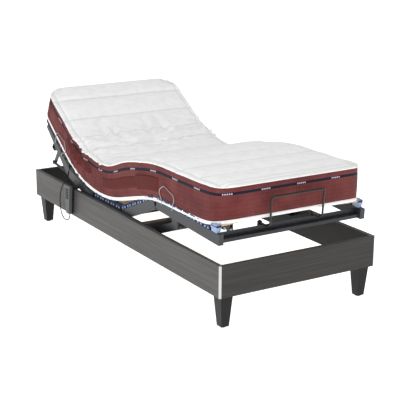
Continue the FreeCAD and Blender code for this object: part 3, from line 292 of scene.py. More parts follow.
# ---- Deck steelwork -----------------------------------------------------------------------------
# Box tube and plate, welded and powder coated in slate grey with a faint orange-peel skin.
# Bolts, hinge pins and corner brackets are zinc plated.

powder, powder_shader = finish("slate_powder_coat")
powder_place = add(powder, "TexCoord")
powder_peel = add(powder, "TexNoise", {"Vector": powder_place.outputs["Object"], "Scale": 260.0,
                                       "Detail": 3.0})
powder_cloud = add(powder, "TexNoise", {"Vector": powder_place.outputs["Object"], "Scale": 6.0})
powder_tone = add(powder, "ValToRGB", {"Fac": powder_cloud.outputs["Fac"]})
powder_tone.color_ramp.elements[0].color = colour("#26282C")
powder_tone.color_ramp.elements[1].color = colour("#34373C")
powder_bump = add(powder, "Bump", {"Height": powder_peel.outputs["Fac"], "Strength": 0.2,
                                   "Distance": 0.0006})
feed(powder, powder_shader, Base_Color=powder_tone.outputs["Color"],
     Normal=powder_bump.outputs["Normal"])
powder_shader.inputs["Roughness"].default_value = 0.4
powder_shader.inputs["Metallic"].default_value = 0.1
powder_shader.inputs["Specular IOR Level"].default_value = 0.35
dress(powder, "support_angles", "seat_frame", "thigh_frame", "calf_frame", "lower_back_frame",
      "upper_back_frame", "leg_lift_frame", "sync_rods")

plated, plated_shader = finish("zinc_plated_steel")
plated_place = add(plated, "TexCoord")
plated_cloud = add(plated, "TexNoise", {"Vector": plated_place.outputs["Object"], "Scale": 120.0,
                                        "Detail": 3.0})
plated_gloss = add(plated, "MapRange", {"Value": plated_cloud.outputs["Fac"], "To Min": 0.25,
                                        "To Max": 0.5})
feed(plated, plated_shader, Roughness=plated_gloss.outputs["Result"])
plated_shader.inputs["Base Color"].default_value = colour("#A9ABAE")
plated_shader.inputs["Metallic"].default_value = 1.0
dress(plated, "leg_bolts", "corner_brackets", "seat_hinge_pins", "knee_hinge_pins",
      "back_hinge_pins", "back_push_rod", "leg_push_rod", "calf_side_hoops", "back_side_hoops")

dress(moulded("white_nylon_bush", "#DADAD6", 0.35), "link_bushes")
dress(moulded("grey_rail_cap", "#3A3D42", 0.5), "rail_end_caps")
dress(moulded("black_abs_housing", "#1E1F20", 0.5), "back_drive", "leg_drive", "control_box",
      "retainer_clamps")

black_rod, black_rod_shader = finish("black_enamelled_wire")
black_rod_place = add(black_rod, "TexCoord")
black_rod_skin = add(black_rod, "TexNoise", {"Vector": black_rod_place.outputs["Object"],
                                             "Scale": 300.0})
black_rod_bump = add(black_rod, "Bump", {"Height": black_rod_skin.outputs["Fac"],
                                         "Strength": 0.12, "Distance": 0.0004})
feed(black_rod, black_rod_shader, Normal=black_rod_bump.outputs["Normal"])
black_rod_shader.inputs["Base Color"].default_value = colour("#0F0F0E")
black_rod_shader.inputs["Roughness"].default_value = 0.35
dress(black_rod, "foot_retainer")

# ---- Slats --------------------------------------------------------------------------------------
# Steam-bent beech laminate, 38 by 8 mm, clear lacquered; the grain runs along each slat.

beech, beech_shader = finish("lacquered_beech")
beech_place = add(beech, "TexCoord")
beech_grain = add(beech, "TexNoise", {
    "Vector": add(beech, "Mapping", {"Vector": beech_place.outputs["Object"],
                                     "Scale": (6, 180, 180)}).outputs["Vector"],
    "Scale": 1.0, "Detail": 5.0})
beech_tone = add(beech, "ValToRGB", {"Fac": beech_grain.outputs["Fac"]})
beech_tone.color_ramp.elements[0].position = 0.3
beech_tone.color_ramp.elements[0].color = colour("#B8966E")
beech_tone.color_ramp.elements[1].position = 0.7
beech_tone.color_ramp.elements[1].color = colour("#DCC29E")
feed(beech, beech_shader, Base_Color=beech_tone.outputs["Color"])
beech_shader.inputs["Roughness"].default_value = 0.4

# The deck's sections, how far each is turned at rest in degrees, and the body it rides.
SECTIONS = ("seat", "thigh", "calf", "lower_back", "upper_back")
TURN = {"seat": 0.0, "thigh": -22.5, "calf": 2.9, "lower_back": 15.0, "upper_back": 36.5}
RIDES = {"seat": "base", "thigh": "thigh", "calf": "calf", "lower_back": "lower_back",
         "upper_back": "upper_back"}
# Sprung slats are bent upwards: this much in the middle, down to nothing at half their length.
# Each is cut across every SLAT_STEP, so that it bends smoothly.
SLAT_BOW, SLAT_HALF, SLAT_STEP = 0.012, 0.395, 0.045

for section in SECTIONS:
    bars = bmesh.new()
    bars.from_mesh(NODES[section + "_slats"].data)
    bmesh.ops.remove_doubles(bars, verts=bars.verts, dist=1e-6)
    for cut in range(-8, 9):
        bmesh.ops.bisect_plane(bars, geom=bars.verts[:] + bars.edges[:] + bars.faces[:],
                               plane_co=(cut * SLAT_STEP, 0, 0), plane_no=(1, 0, 0))
    up = Matrix.Rotation(math.radians(TURN[section]), 3, "X") @ Vector((0, 0, 1))
    for vert in bars.verts:
        vert.co += up * SLAT_BOW * max(0, 1 - (vert.co.x / SLAT_HALF) ** 2)
    row = piece(section + "_sprung_slats", bars, beech, smooth=False)
    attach(row, RIDES[section])
    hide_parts(section + "_slats")

# ---- Slat holders -------------------------------------------------------------------------------
# Each slat end sits in a moulded elastomer holder clipped on the rail: a dark blue foot with
# paler soft pads along its face and a smooth hood over the slat.  The back's holders are slate
# grey, and the pair of the raised last slat is pale blue.

HOLDER_LENGTH, HOLDER_WIDTH, HOLDER_BEVEL = 0.053, 0.0245, 0.0015
# The height of an ordinary holder as built; the last pair is taller by the slat's rise.
HOLDER_TALL = 0.022
holder_dark = moulded("navy_elastomer", "#1A2A4A", 0.55)
holder_pale = moulded("pale_blue_elastomer", "#93A4C4", 0.5)
holder_slate = moulded("slate_elastomer", "#1B1E24", 0.6)
HOLDER_FINISH = {section: (holder_slate, holder_slate) if "back" in section
                 else (holder_dark, holder_pale) for section in SECTIONS}


def holder(into, foot, turn, outward, raised):
    """One holder: foot is the middle of its underside, outward is +1 or -1 along X."""
    tilted = Matrix.Rotation(math.radians(turn), 4, "X")
    home = Matrix.Translation(foot) @ tilted @ Matrix.Translation((0, 0, raised))

    def lump(size, offset, material, bevel):
        made = bmesh.ops.create_cube(into, size=1.0, matrix=home @ Matrix.Translation(offset)
                                     @ Matrix.Diagonal((*size, 1)))
        # each edge once, in an order that is the same every run
        edges = list(dict.fromkeys(edge for vert in made["verts"] for edge in vert.link_edges))
        for face in {face for vert in made["verts"] for face in vert.link_faces}:
            face.material_index = material
        bmesh.ops.bevel(into, geom=edges, offset=bevel, segments=2, profile=0.5, affect="EDGES",
                        material=-1)

    if raised > 0.001:
        # the post that lifts the last slat
        lump((HOLDER_WIDTH - 0.003, HOLDER_LENGTH - 0.008, raised), (0, 0, -raised / 2), 1,
             HOLDER_BEVEL)
    # the foot on the rail, up to the underside of the slat
    lump((HOLDER_WIDTH, HOLDER_LENGTH, 0.0100), (0, 0, 0.0052), int(raised > 0.001), HOLDER_BEVEL)
    # cheeks on both sides of the slat and a stop behind its end
    for way in (-1, 1):
        lump((HOLDER_WIDTH, 0.0060, 0.0110), (0, way * 0.0230, 0.0152), 0, HOLDER_BEVEL)
    lump((0.0120, 0.0420, 0.0110), (outward * 0.0062, 0, 0.0152), 0, HOLDER_BEVEL)
    # soft pads on the outer and inner faces
    for way in (-1, 1):
        for side in (-1, 1):
            lump((0.0016, 0.0090, 0.0085), (side * 0.0122, way * 0.0130, 0.0066), 1, 0.0006)
    # the hood over the slat end
    hood = bmesh.ops.create_cone(into, cap_ends=True, segments=20, radius1=0.0262, radius2=0.0262,
                                 depth=HOLDER_WIDTH, matrix=home
                                 @ Matrix.Translation((0, 0, 0.0192))
                                 @ Matrix.Diagonal((1, 1, 0.14, 1))
                                 @ Matrix.Rotation(math.radians(90), 4, "Y"))
    for face in {face for vert in hood["verts"] for face in vert.link_faces}:
        face.material_index = int(raised > 0.001)


def solid_middles(name, up):
    """The centre of each separate solid of a CAD node, and its height along a direction."""
    copy = bmesh.new()
    copy.from_mesh(NODES[name].data)
    bmesh.ops.remove_doubles(copy, verts=copy.verts, dist=1e-6)
    seen, middles = set(), []
    for start in copy.verts:
        if start in seen:
            continue
        island, queue = [], [start]
        seen.add(start)
        while queue:
            vert = queue.pop()
            island.append(vert.co.copy())
            for edge in vert.link_edges:
                other = edge.other_vert(vert)
                if other not in seen:
                    seen.add(other)
                    queue.append(other)
        low = [min(co[i] for co in island) for i in range(3)]
        high = [max(co[i] for co in island) for i in range(3)]
        heights = [co.dot(up) for co in island]
        middles.append((Vector([(a + b) / 2 for a, b in zip(low, high)]),
                        max(heights) - min(heights)))
    copy.free()
    return middles


for section in SECTIONS:
    moulds = bmesh.new()
    up = Matrix.Rotation(math.radians(TURN[section]), 3, "X") @ Vector((0, 0, 1))
    for middle, tall in solid_middles(section + "_slat_holders", up):
        holder(moulds, middle - up * tall / 2, TURN[section], 1 if middle.x > 0 else -1,
               tall - HOLDER_TALL)
    row = piece(section + "_holders", moulds, *HOLDER_FINISH[section])
    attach(row, RIDES[section])
    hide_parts(section + "_slat_holders")

# ---- Mattress -----------------------------------------------------------------------------------
# One block of foam in a sewn cover: a red knitted border with a narrow navy tape, a white
# quilted top, and white piping round both edges.  It lies bent on the raised deck.

LENGTH, HALF_WIDTH, DEPTH = 2.012, 0.407, 0.186
CORNER = 0.110
# On the flat mattress: the border's lower and upper seam, where the quilted top begins, and the
# tape's two edges and middle.
BAND_LOW, BAND_HIGH = 0.017, 0.177
TOP_START = BAND_HIGH + 0.006
TAPE_LOW, TAPE_HIGH, TAPE_MIDDLE = 0.139, 0.153, 0.146

# Crosswise sewn channels in the top, and a row of stitching inside the piping.
CHANNEL_START, CHANNEL_PITCH, STITCH_INSET = 0.14, 0.165, 0.024

# Foam bends over a stretch, not at a line.  Each bend is its middle (metres of underside from the
# head end), the length that it takes, and its turn in degrees: the pillow end, the back, the
# hips, the knees, and the foot end that rides up on the raised last slat.
BENDS = [(0.10, 0.20, -6), (0.60, 0.62, -35), (0.96, 0.34, -15.5), (1.40, 0.28, 15.5),
         (1.92, 0.26, -18)]
HEAD_TILT = 41
# The cover shears as it bends, so its cross-sections lean by this share of the tilt.
LEAN_SHARE = 0.65
# Thickness along the mattress: squeezed at the head end, fullest over the thighs.
THICKNESS = [(0, 0.115), (0.12, 0.143), (0.35, 0.156), (0.60, 0.178), (0.88, 0.177), (1.15, 0.198),
             (1.40, 0.184), (1.88, 0.185), (LENGTH, 0.166)]
# Carrying handles of webbing on each side: start and end from the head, lower and upper edge,
# and how far each stands proud.  The first one bulges where the back bends, the second lies flat
# up to its sewn-down end.
HANDLES = [(0.36, 0.72, 0.088, 0.124, 0.021), (0.86, 1.25, 0.058, 0.112, 0.0035),
           (1.25, 1.47, 0.050, 0.119, 0.0080)]
# It touches down in the middle of the seat section.
SEAT_REACH, SEAT_Y, SEAT_Z = 0.872, 0.172, 0.332
STEPS = 503


def ease(x):
    """A smooth step from 0 to 1."""
    x = min(max(x, 0.0), 1.0)
    return x * x * (3 - 2 * x)


def tilt(reach, bends):
    """Slope of the underside in degrees, rising towards the head."""
    return HEAD_TILT + sum(turn * ease((reach - middle) / spread + 0.5)
                           for middle, spread, turn in bends)


def thickness(reach):
    """Thickness of the mattress at a distance from the head end."""
    for (start, first), (end, last) in zip(THICKNESS, THICKNESS[1:]):
        if reach <= end:
            return first + (last - first) * ease((reach - start) / (end - start))
    return THICKNESS[-1][1]


UNDERSIDE = [Vector((0, 0))]
for step in range(STEPS):
    slope = math.radians(tilt((step + 0.5) * LENGTH / STEPS, BENDS))
    UNDERSIDE.append(UNDERSIDE[-1] - Vector((math.cos(slope), math.sin(slope))) * LENGTH / STEPS)
shift = Vector((SEAT_Y, SEAT_Z)) - UNDERSIDE[round(SEAT_REACH / LENGTH * STEPS)]
UNDERSIDE = [point + shift for point in UNDERSIDE]


def edges_at(reach):
    """The lower and upper edges of the border, as (y, z), at a distance from the head end."""
    spot = min(max(reach / LENGTH, 0), 0.99999) * STEPS
    low = UNDERSIDE[int(spot)].lerp(UNDERSIDE[int(spot) + 1], spot - int(spot))
    lean = math.radians(LEAN_SHARE * tilt(reach, BENDS[:-1]))
    return low, low + Vector((-math.sin(lean), math.cos(lean))) * thickness(reach)


def side_swell(height):
    """How far the border stands proud at a height above the mattress's base."""
    if height < BAND_LOW:
        return 0.004 * math.sin(math.pi * min(1, (height + 0.004) / (BAND_LOW + 0.004)))
    if height > BAND_HIGH:
        return 0.003 * math.sin(math.pi * min(1, (height - BAND_HIGH) / 0.009))
    part = (height - BAND_LOW) / (BAND_HIGH - BAND_LOW)
    return 0.0035 * math.sin(math.pi * part) ** 0.6 - 0.0015


# The flat block is cut lengthwise every SLICE, and closer where the border has its seams.
SLICE = 0.01
mattress_block = bmesh.new()
bmesh.ops.create_cube(mattress_block, size=1.0,
                      matrix=Matrix.Translation((0, LENGTH / 2, DEPTH / 2))
                      @ Matrix.Diagonal((2 * HALF_WIDTH, LENGTH, DEPTH, 1)))
uprights = [edge for edge in mattress_block.edges
            if abs(edge.verts[0].co.z - edge.verts[1].co.z) > DEPTH / 2]
bmesh.ops.bevel(mattress_block, geom=uprights, offset=CORNER, segments=8, profile=0.5,
                affect="EDGES", material=-1)


def slice_block(block, axis, places):
    """Cut every face of a block at these distances along an axis."""
    for spot in places:
        bmesh.ops.bisect_plane(block, geom=block.verts[:] + block.edges[:] + block.faces[:],
                               plane_co=axis * spot, plane_no=axis)


slice_block(mattress_block, Vector((0, 0, 1)),
            [0.004, 0.009, 0.014, BAND_LOW, 0.019, 0.035, 0.074, 0.100, 0.131, TAPE_LOW, TAPE_HIGH,
             0.165, 0.174, BAND_HIGH, 0.179, 0.182])
for _, _, low, high, _ in HANDLES:
    slice_block(mattress_block, Vector((0, 0, 1)), [low, low + 0.002, high - 0.002, high])
slice_block(mattress_block, Vector((0, 1, 0)),
            [CORNER + SLICE * step for step in range(int((LENGTH - 2 * CORNER) / SLICE) + 1)])
slice_block(mattress_block, Vector((1, 0, 0)),
            [-0.34 + 0.017 * step for step in range(41)])
for way in (-1, 1):
    slice_block(mattress_block, Vector((way, 0, 0)), [0.352, 0.364, 0.376, 0.385, 0.392, 0.399])

# The cover's finishes; a pattern is spaced in metres on the flat cover.
RIB, ROW, THREAD, WAFFLE = 0.009, 0.022, 0.003, 0.009
TAPE_REPEAT, TAPE_GROUP, LOZENGE = 0.195, 0.050, 0.010


def cloth_place(material):
    """Where a spot lies on the flat cover: across, along and up, in metres."""
    spot = add(material, "Attribute", attribute_name="cover")
    return add(material, "SeparateXYZ", {"Vector": spot.outputs["Vector"]}), spot


def sums(material, operation, *values):
    """Add up, multiply and so on, two values at a time."""
    result = values[0]
    for value in values[1:]:
        result = add(material, "Math", {0: result, 1: value}, operation=operation).outputs[0]
    return result


red_knit, red_shader = finish("red_ribbed_knit")
# Knitted polyester: fine upright ribs, 2 mm apart on the real cover and drawn 9 mm apart here
# so that they show, with a faint crosswise row every 22 mm.
red_parts, red_spot = cloth_place(red_knit)
girth = add(red_knit, "Attribute", attribute_name="girth")
rib_wave = add(red_knit, "Math", {0: sums(red_knit, "MULTIPLY", girth.outputs["Fac"],
                                          2 * math.pi / RIB)}, operation="SINE")
row_wave = add(red_knit, "Math", {0: sums(red_knit, "MULTIPLY", red_parts.outputs["Z"],
                                          2 * math.pi / ROW)}, operation="SINE")
red_cloud = add(red_knit, "TexNoise", {"Vector": red_spot.outputs["Vector"], "Scale": 9.0,
                                       "Detail": 3.0})
red_fuzz = add(red_knit, "TexNoise", {"Vector": red_spot.outputs["Vector"], "Scale": 380.0,
                                      "Detail": 2.0})
red_level = sums(red_knit, "ADD",
                 sums(red_knit, "MULTIPLY", red_cloud.outputs["Fac"], 0.55),
                 sums(red_knit, "MULTIPLY", red_fuzz.outputs["Fac"], 0.3),
                 sums(red_knit, "MULTIPLY", rib_wave.outputs[0], 0.05),
                 sums(red_knit, "MULTIPLY", row_wave.outputs[0], 0.02))
red_tone = add(red_knit, "ValToRGB", {"Fac": red_level})
red_tone.color_ramp.elements[0].position = 0.3
red_tone.color_ramp.elements[0].color = colour("#5A2625")
red_tone.color_ramp.elements[1].position = 0.58
red_tone.color_ramp.elements[1].color = colour("#7B3F3D")
red_height = sums(red_knit, "ADD", rib_wave.outputs[0],
                  sums(red_knit, "MULTIPLY", row_wave.outputs[0], 0.4),
                  sums(red_knit, "MULTIPLY", red_fuzz.outputs["Fac"], 0.8))
red_bump = add(red_knit, "Bump", {"Height": red_height, "Strength": 0.5, "Distance": 0.0012})
feed(red_knit, red_shader, Base_Color=red_tone.outputs["Color"], Normal=red_bump.outputs["Normal"])
red_shader.inputs["Roughness"].default_value = 0.85
red_shader.inputs["Sheen Weight"].default_value = 0.04
red_shader.inputs["Specular IOR Level"].default_value = 0.2
red_shader.inputs["Sheen Roughness"].default_value = 0.5

webbing, webbing_shader = finish("red_webbing_dye_and_painted_shade")
# Woven polyester strap: flat, with fine cross threads. Its red is deeper than the border's: partly
# the strap's own dye, partly painted shade of the gaps and folds round the handles.
webbing_parts, webbing_spot = cloth_place(webbing)
webbing_threads = add(webbing, "Math", {0: sums(webbing, "MULTIPLY", webbing_parts.outputs["Y"],
                                                2 * math.pi / THREAD)}, operation="SINE")
webbing_fuzz = add(webbing, "TexNoise", {"Vector": webbing_spot.outputs["Vector"],
                                         "Scale": 120.0, "Detail": 3.0})
webbing_dye_and_painted_shade = add(webbing, "ValToRGB", {"Fac": webbing_fuzz.outputs["Fac"]})
webbing_dye_and_painted_shade.color_ramp.elements[0].color = colour("#421514")
webbing_dye_and_painted_shade.color_ramp.elements[1].color = colour("#6C2F2C")
webbing_bump = add(webbing, "Bump", {"Height": webbing_threads.outputs[0], "Strength": 0.3,
                                     "Distance": 0.0005})
feed(webbing, webbing_shader, Base_Color=webbing_dye_and_painted_shade.outputs["Color"],
     Normal=webbing_bump.outputs["Normal"])
webbing_shader.inputs["Roughness"].default_value = 0.8
webbing_shader.inputs["Specular IOR Level"].default_value = 0.2

tape_weave, tape_shader = finish("navy_jacquard_tape")
# A woven tape with groups of small pale lozenges every 195 mm.
tape_parts, tape_spot = cloth_place(tape_weave)
tape_girth = add(tape_weave, "Attribute", attribute_name="girth")
repeat = add(tape_weave, "Math", {0: tape_girth.outputs["Fac"], 1: TAPE_REPEAT},
             operation="MODULO")
in_group = add(tape_weave, "Math", {0: repeat.outputs[0], 1: TAPE_GROUP}, operation="LESS_THAN")
small = add(tape_weave, "Math", {0: repeat.outputs[0], 1: LOZENGE}, operation="MODULO")
off_x = add(tape_weave, "Math", {0: sums(tape_weave, "SUBTRACT", small.outputs[0],
                                         LOZENGE / 2)}, operation="ABSOLUTE")
off_z = add(tape_weave, "Math", {0: sums(tape_weave, "SUBTRACT", tape_parts.outputs["Z"],
                                         TAPE_MIDDLE)}, operation="ABSOLUTE")
lozenge = add(tape_weave, "Math", {0: sums(tape_weave, "ADD", off_x.outputs[0],
                                           sums(tape_weave, "MULTIPLY", off_z.outputs[0], 0.9)),
                                   1: 0.0046}, operation="LESS_THAN")
mark = sums(tape_weave, "MULTIPLY", in_group.outputs[0], lozenge.outputs[0])
tape_fuzz = add(tape_weave, "TexNoise", {"Vector": tape_spot.outputs["Vector"], "Scale": 500.0})
tape_blue = add(tape_weave, "ValToRGB", {"Fac": tape_fuzz.outputs["Fac"]})
tape_blue.color_ramp.elements[0].color = colour("#0B0D20")
tape_blue.color_ramp.elements[1].color = colour("#171A33")
tape_mix = add(tape_weave, "Mix", {"Factor": mark, "A": tape_blue.outputs["Color"],
                                   "B": colour("#BDB9C0")}, data_type="RGBA")
tape_bump = add(tape_weave, "Bump", {"Height": tape_fuzz.outputs["Fac"], "Strength": 0.3,
                                     "Distance": 0.0004})
feed(tape_weave, tape_shader, Base_Color=tape_mix.outputs["Result"],
     Normal=tape_bump.outputs["Normal"])
tape_shader.inputs["Roughness"].default_value = 0.7
tape_shader.inputs["Specular IOR Level"].default_value = 0.2

white_knit, white_shader = finish("white_quilted_jersey")
# Soft double jersey with a small waffle; drawn 9 mm apart so that it shows.
white_parts, white_spot = cloth_place(white_knit)
waffle_x = add(white_knit, "Math", {0: sums(white_knit, "MULTIPLY", white_parts.outputs["X"],
                                            2 * math.pi / WAFFLE)}, operation="SINE")
waffle_y = add(white_knit, "Math", {0: sums(white_knit, "MULTIPLY", white_parts.outputs["Y"],
                                            2 * math.pi / WAFFLE)}, operation="SINE")
white_cloud = add(white_knit, "TexNoise", {"Vector": white_spot.outputs["Vector"], "Scale": 22.0,
                                           "Detail": 4.0, "Roughness": 0.6})
white_fuzz = add(white_knit, "TexNoise", {"Vector": white_spot.outputs["Vector"], "Scale": 260.0,
                                          "Detail": 2.0})
white_tone = add(white_knit, "ValToRGB", {"Fac": white_cloud.outputs["Fac"]})
white_tone.color_ramp.elements[0].position = 0.35
white_tone.color_ramp.elements[0].color = colour("#F2F3F3")
white_tone.color_ramp.elements[1].position = 0.6
white_tone.color_ramp.elements[1].color = colour("#FAFAF9")
# painted shade along each sewn channel and along the row of stitching beside the piping, where the
# thread draws the cloth in: the white is painted darker, towards #C6C8CA, within 7 mm of each seam
channel_off = add(white_knit, "Math", {0: sums(white_knit, "SUBTRACT", white_parts.outputs["Y"],
                                               CHANNEL_START), 1: CHANNEL_PITCH / 2},
                  operation="PINGPONG")
side_off = add(white_knit, "Math", {0: HALF_WIDTH, 1: add(
    white_knit, "Math", {0: white_parts.outputs["X"]}, operation="ABSOLUTE").outputs[0]},
    operation="SUBTRACT")
foot_off = add(white_knit, "Math", {0: LENGTH, 1: white_parts.outputs["Y"]}, operation="SUBTRACT")
edge_off = add(white_knit, "Math", {0: side_off.outputs[0], 1: foot_off.outputs[0]},
               operation="MINIMUM")
stitch_off = add(white_knit, "Math", {0: sums(white_knit, "SUBTRACT", edge_off.outputs[0],
                                              STITCH_INSET)}, operation="ABSOLUTE")
thread_off = add(white_knit, "Math", {0: channel_off.outputs[0], 1: stitch_off.outputs[0]},
                 operation="MINIMUM")
# painted shade: how far towards grey the white is painted near a seam
seam_painted_shade = add(white_knit, "MapRange", {"Value": thread_off.outputs[0], "From Min": 0.0015,
                                        "From Max": 0.0070, "To Min": 0.38, "To Max": 0.0})
white_with_painted_seam_shade = add(white_knit, "Mix", {"Factor": seam_painted_shade.outputs["Result"],
                                      "A": white_tone.outputs["Color"],
                                      "B": colour("#C6C8CA")}, data_type="RGBA")
white_height = sums(white_knit, "ADD",
                    sums(white_knit, "MULTIPLY", waffle_x.outputs[0], waffle_y.outputs[0]),
                    sums(white_knit, "MULTIPLY", white_fuzz.outputs["Fac"], 1.5),
                    sums(white_knit, "MULTIPLY", white_cloud.outputs["Fac"], 1.2))
white_bump = add(white_knit, "Bump", {"Height": white_height, "Strength": 0.45, "Distance": 0.001})
feed(white_knit, white_shader, Base_Color=white_with_painted_seam_shade.outputs["Result"],
     Normal=white_bump.outputs["Normal"])
white_shader.inputs["Roughness"].default_value = 0.9
white_shader.inputs["Sheen Weight"].default_value = 0.15

# Each face takes the finish of its band: white top and piping, red border, navy tape.
for face in mattress_block.faces:
    height = face.calc_center_median().z
    upright = abs(face.normal.z) < 0.5
    face.material_index = 2
    if upright and BAND_LOW < height < BAND_HIGH:
        face.material_index = 1 if TAPE_LOW < height < TAPE_HIGH else 0
        reach = face.calc_center_median().y
        if abs(face.normal.x) > 0.9 and any(
                start < reach < end and low < height < high
                for start, end, low, high, _ in HANDLES):
            face.material_index = 3
    face.smooth = True

cover_layer = mattress_block.verts.layers.float_vector.new("cover")
girth_layer = mattress_block.verts.layers.float.new("girth")
ROUND = CORNER * math.pi / 2
# More than half the way round the cover, so that no place on it comes out below nought.
GIRTH_START = 3.9
# Where the cover puckers, in metres from the head, over what stretch and how deep: at the bend of
# the back and, less, at the hips and towards the foot end.
PUCKERS = [(0.52, 0.13, 0.0160), (0.82, 0.08, 0.0045), (1.50, 0.40, 0.0012)]
# Where the quilted top bends sharpest, and the long creases there: place across, and slant.
BACK_BEND = 0.62
CREASES = [(-0.24, 0.10), (-0.13, -0.22), (0.02, 0.16), (0.17, -0.12)]
# The top is drawn in over this distance from its edge; and how near counts as on a face.
EDGE_REACH, NEAR = 0.09, 0.001


def around(x, y):
    """How far along the cover's edge a point is, from the middle of the foot end."""
    left, foot = x + HALF_WIDTH, LENGTH - y
    side = HALF_WIDTH - CORNER
    if foot < CORNER and abs(x) > HALF_WIDTH - CORNER:
        angle = math.atan2(CORNER - foot, abs(x) - (HALF_WIDTH - CORNER))
        reach = side + (math.pi / 2 - angle) * CORNER
    elif foot < NEAR:
        reach = abs(x)
    elif y < NEAR:
        reach = side + ROUND + LENGTH - 2 * CORNER + ROUND + side - abs(x)
    else:
        reach = side + ROUND + foot - CORNER
    return GIRTH_START + math.copysign(reach, x)


JOINTS = {joint["name"]: joint for joint in frame["record"]["behaviour"]["joints"]}
# Where the slats' upper faces lie: the seat's height and stretch, then for each turning section
# its hinge raised to the slats' upper faces, and its reach from there.
SEAT_TOP, SEAT_SPAN = 0.333, (-0.02, 0.29)
DECK = {}
for body, joint, lift, reach in (("thigh", "thigh_raise", 0.041, -0.377),
                                 ("calf", "knee_bend", 0.062, -0.57),
                                 ("lower_back", "lower_back_raise", 0.041, 0.312),
                                 ("upper_back", "upper_back_fold", 0.028, 0.36)):
    spot = JOINTS[joint]["pos_m"]
    DECK[body] = (spot[1], spot[2] + lift / math.cos(math.radians(TURN[body])), reach)


def deck_line(y):
    """Height of the slats' upper faces at a place along the bed, in metres."""
    best = SEAT_TOP if SEAT_SPAN[0] < y < SEAT_SPAN[1] else 0.0
    for body, (pivot_y, pivot_z, reach) in DECK.items():
        slope = math.radians(TURN[body])
        run = (y - pivot_y) / math.cos(slope)
        if min(reach, 0) - 0.02 <= run <= max(reach, 0) + 0.02:
            best = max(best, pivot_z + (y - pivot_y) * math.tan(slope))
    return best


def hill(x, middle, spread):
    """A smooth hill, 1 at its middle."""
    return math.exp(-((x - middle) / spread) ** 2)


def quilt_crown(across, reach, soft):
    """How far the quilted top stands above its seam; soft is 0 at the edge and 1 well inside."""
    # the filling crowns between the sewn channels
    turns = (reach - CHANNEL_START) / CHANNEL_PITCH
    gap = abs(turns - round(turns)) * CHANNEL_PITCH
    crown = soft * (0.002 + 0.014 * min(gap / 0.060, 1) ** 0.5)
    crown += 0.0030 * soft * noise.noise(Vector((across * 6, reach * 7, 1.7)))
    # the quilted top is too long for the bend of the back, so it wrinkles there
    fold = noise.noise(Vector((across * 7 + reach * 5, reach * 26 - across * 6, 4.2)))
    crown += 0.018 * soft * hill(reach, BACK_BEND, 0.17) * (0.35 - abs(fold)) * 2
    # a few long creases run up from the bend, each a groove with a ridge beside it
    for crease, slant in CREASES:
        off = across - crease - slant * (BACK_BEND - reach)
        length = hill(reach, 0.46, 0.10)
        crown -= 0.015 * soft * length * hill(off, 0, 0.015)
        crown += 0.011 * soft * length * hill(off, 0.030, 0.018)
    # white piping round the edge, with the row of stitching inside it
    border = min(HALF_WIDTH - abs(across), reach, LENGTH - reach)
    crown += 0.003 * hill(border, 0.008, 0.006)
    crown -= 0.004 * hill(border, STITCH_INSET, 0.008)
    return crown


def facing(across, reach):
    """Which way the border faces on the flat mattress, sideways and lengthwise; 0 inside it."""
    end = min(reach, LENGTH - reach)
    if abs(across) > HALF_WIDTH - CORNER - NEAR and end < CORNER + NEAR:
        return Vector((abs(across) - (HALF_WIDTH - CORNER), CORNER - end)).normalized()
    if abs(across) > HALF_WIDTH - NEAR:
        return Vector((1, 0))
    return Vector((0, 1)) if end < NEAR else Vector((0, 0))


def settle(flat):
    """Lay a point of the flat mattress on the bent deck, with the cover's swell and puckers."""
    across, reach, height = flat
    low, high = edges_at(reach)
    way = (high - low).normalized()
    rise = min(height, TOP_START) / TOP_START
    inward = min(1.0, (HALF_WIDTH - abs(across)) / EDGE_REACH,
                 min(reach, LENGTH - reach) / EDGE_REACH)
    inward = max(inward, 0.0)
    point = low.lerp(high, rise)
    if height > TOP_START:
        point = point + way * quilt_crown(across, reach, math.sin(inward * math.pi / 2))
    swell = 0.0
    if NEAR / 2 < height < DEPTH - NEAR / 2 or inward < 0.02:
        swell = side_swell(height)
    side = facing(across, reach)
    if side.x == 1:
        for start, end, under, over, proud in HANDLES:
            if start < reach < end and under < height < over:
                swell += proud * math.sin(math.pi * (reach - start) / (end - start)) ** 0.4
    for centre, spread, depth in PUCKERS:
        fade = hill(reach, centre, spread) * (0.25 + 0.75 * rise)
        ripple = (1.7 * noise.noise(Vector((reach * 21, height * 9 + reach * 4, across)))
                  + 0.4 * math.sin(reach * 2 * math.pi / 0.047))
        if inward < 0.6:
            swell += depth * fade * ripple * (1 - inward / 0.6)
        if height > 0.1:
            point = point + way * depth * 0.8 * fade * ripple * (1 - 0.75 * inward)
    x = across + math.copysign(swell * side.x, across)
    lengthwise = (1 if reach > LENGTH / 2 else -1) * swell * side.y
    slope = math.radians(tilt(reach, BENDS))
    point = point - Vector((math.cos(slope), math.sin(slope))) * lengthwise
    if height < 0.02 and abs(across) < SLAT_HALF:
        # the underside lies on the slats
        bow = SLAT_BOW * max(0, 1 - (across / SLAT_HALF) ** 2)
        point.y = max(point.y, deck_line(point.x) + bow + height)
    return Vector((x, point.x, point.y))


for vert in mattress_block.verts:
    vert[cover_layer] = vert.co.copy()
    vert[girth_layer] = around(vert.co.x, vert.co.y)
    vert.co = settle(vert.co)

# The block is made as four pieces, each reaching over one hinge line; they meet midway along a
# deck section, where nothing bends.
mattress_mesh = bpy.data.meshes.new("mattress_whole")
mattress_block.to_mesh(mattress_mesh)
mattress_block.free()

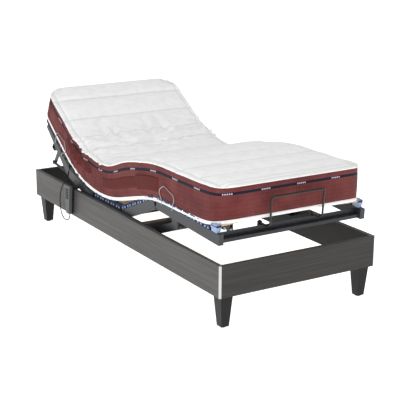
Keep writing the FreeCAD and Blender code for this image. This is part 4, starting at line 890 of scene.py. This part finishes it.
KNEE, HIP = JOINTS["knee_bend"]["pos_m"], JOINTS["thigh_raise"]["pos_m"]
WAIST, BACK = JOINTS["lower_back_raise"]["pos_m"], JOINTS["upper_back_fold"]["pos_m"]
# Each piece: where it ends and starts from the head, the bodies on either side of its hinge, the
# stretch round that hinge, and the plain slabs it stands for.
PIECES = [("mattress_foot_end", None, 1.26, ("calf", "thigh"), KNEE[1] - 0.13, KNEE[1] + 0.12,
           ["mattress_calf"]),
          ("mattress_hips", 1.26, 0.91, ("thigh", "base"), HIP[1] - 0.12, HIP[1] + 0.12,
           ["mattress_thigh"]),
          ("mattress_waist", 0.91, 0.61, ("base", "lower_back"), WAIST[1] - 0.12, WAIST[1] + 0.09,
           ["mattress_seat", "mattress_lower_back"]),
          ("mattress_head_end", 0.61, None, ("lower_back", "upper_back"), BACK[1] - 0.12,
           BACK[1] + 0.13, ["mattress_upper_back"])]
for name, far, near, bodies, start, end, stands_for in PIECES:
    part = bmesh.new()
    part.from_mesh(mattress_mesh)
    layer = part.verts.layers.float_vector["cover"]
    for limit, keep_beyond in ((far, False), (near, True)):
        if limit is None:
            continue
        limit = CORNER + SLICE * round((limit - CORNER) / SLICE)
        gone = [vert for vert in part.verts
                if (vert[layer].y < limit - 1e-4 if keep_beyond else vert[layer].y > limit + 1e-4)]
        bmesh.ops.delete(part, geom=gone, context="VERTS")
        rim = [edge for edge in part.edges if edge.is_boundary
               and all(abs(vert[layer].y - limit) < 1e-4 for vert in edge.verts)]
        cap = bmesh.ops.contextual_create(part, geom=rim)
        for face in cap["faces"]:
            face.material_index = 0
            for edge in face.edges:
                edge.smooth = False
    bmesh.ops.recalc_face_normals(part, faces=part.faces)
    made = piece(name, part, red_knit, tape_weave, white_knit, webbing)
    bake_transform(made)
    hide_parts(*stands_for)

# ---- Handset ------------------------------------------------------------------------------------
# Two ABS shells, grey in front and black behind, with rubber keys; it hooks over the board.

dress(moulded("grey_abs_face", "#4A4C4D", 0.45), "handset_front_shell")
dress(moulded("black_abs_back", "#0E0E0F", 0.5), "handset_back_shell")
key_rubber = moulded("black_silicone_key", "#26282A", 0.6)
dress(key_rubber, *(name for name in NODES if name.startswith("button_")))
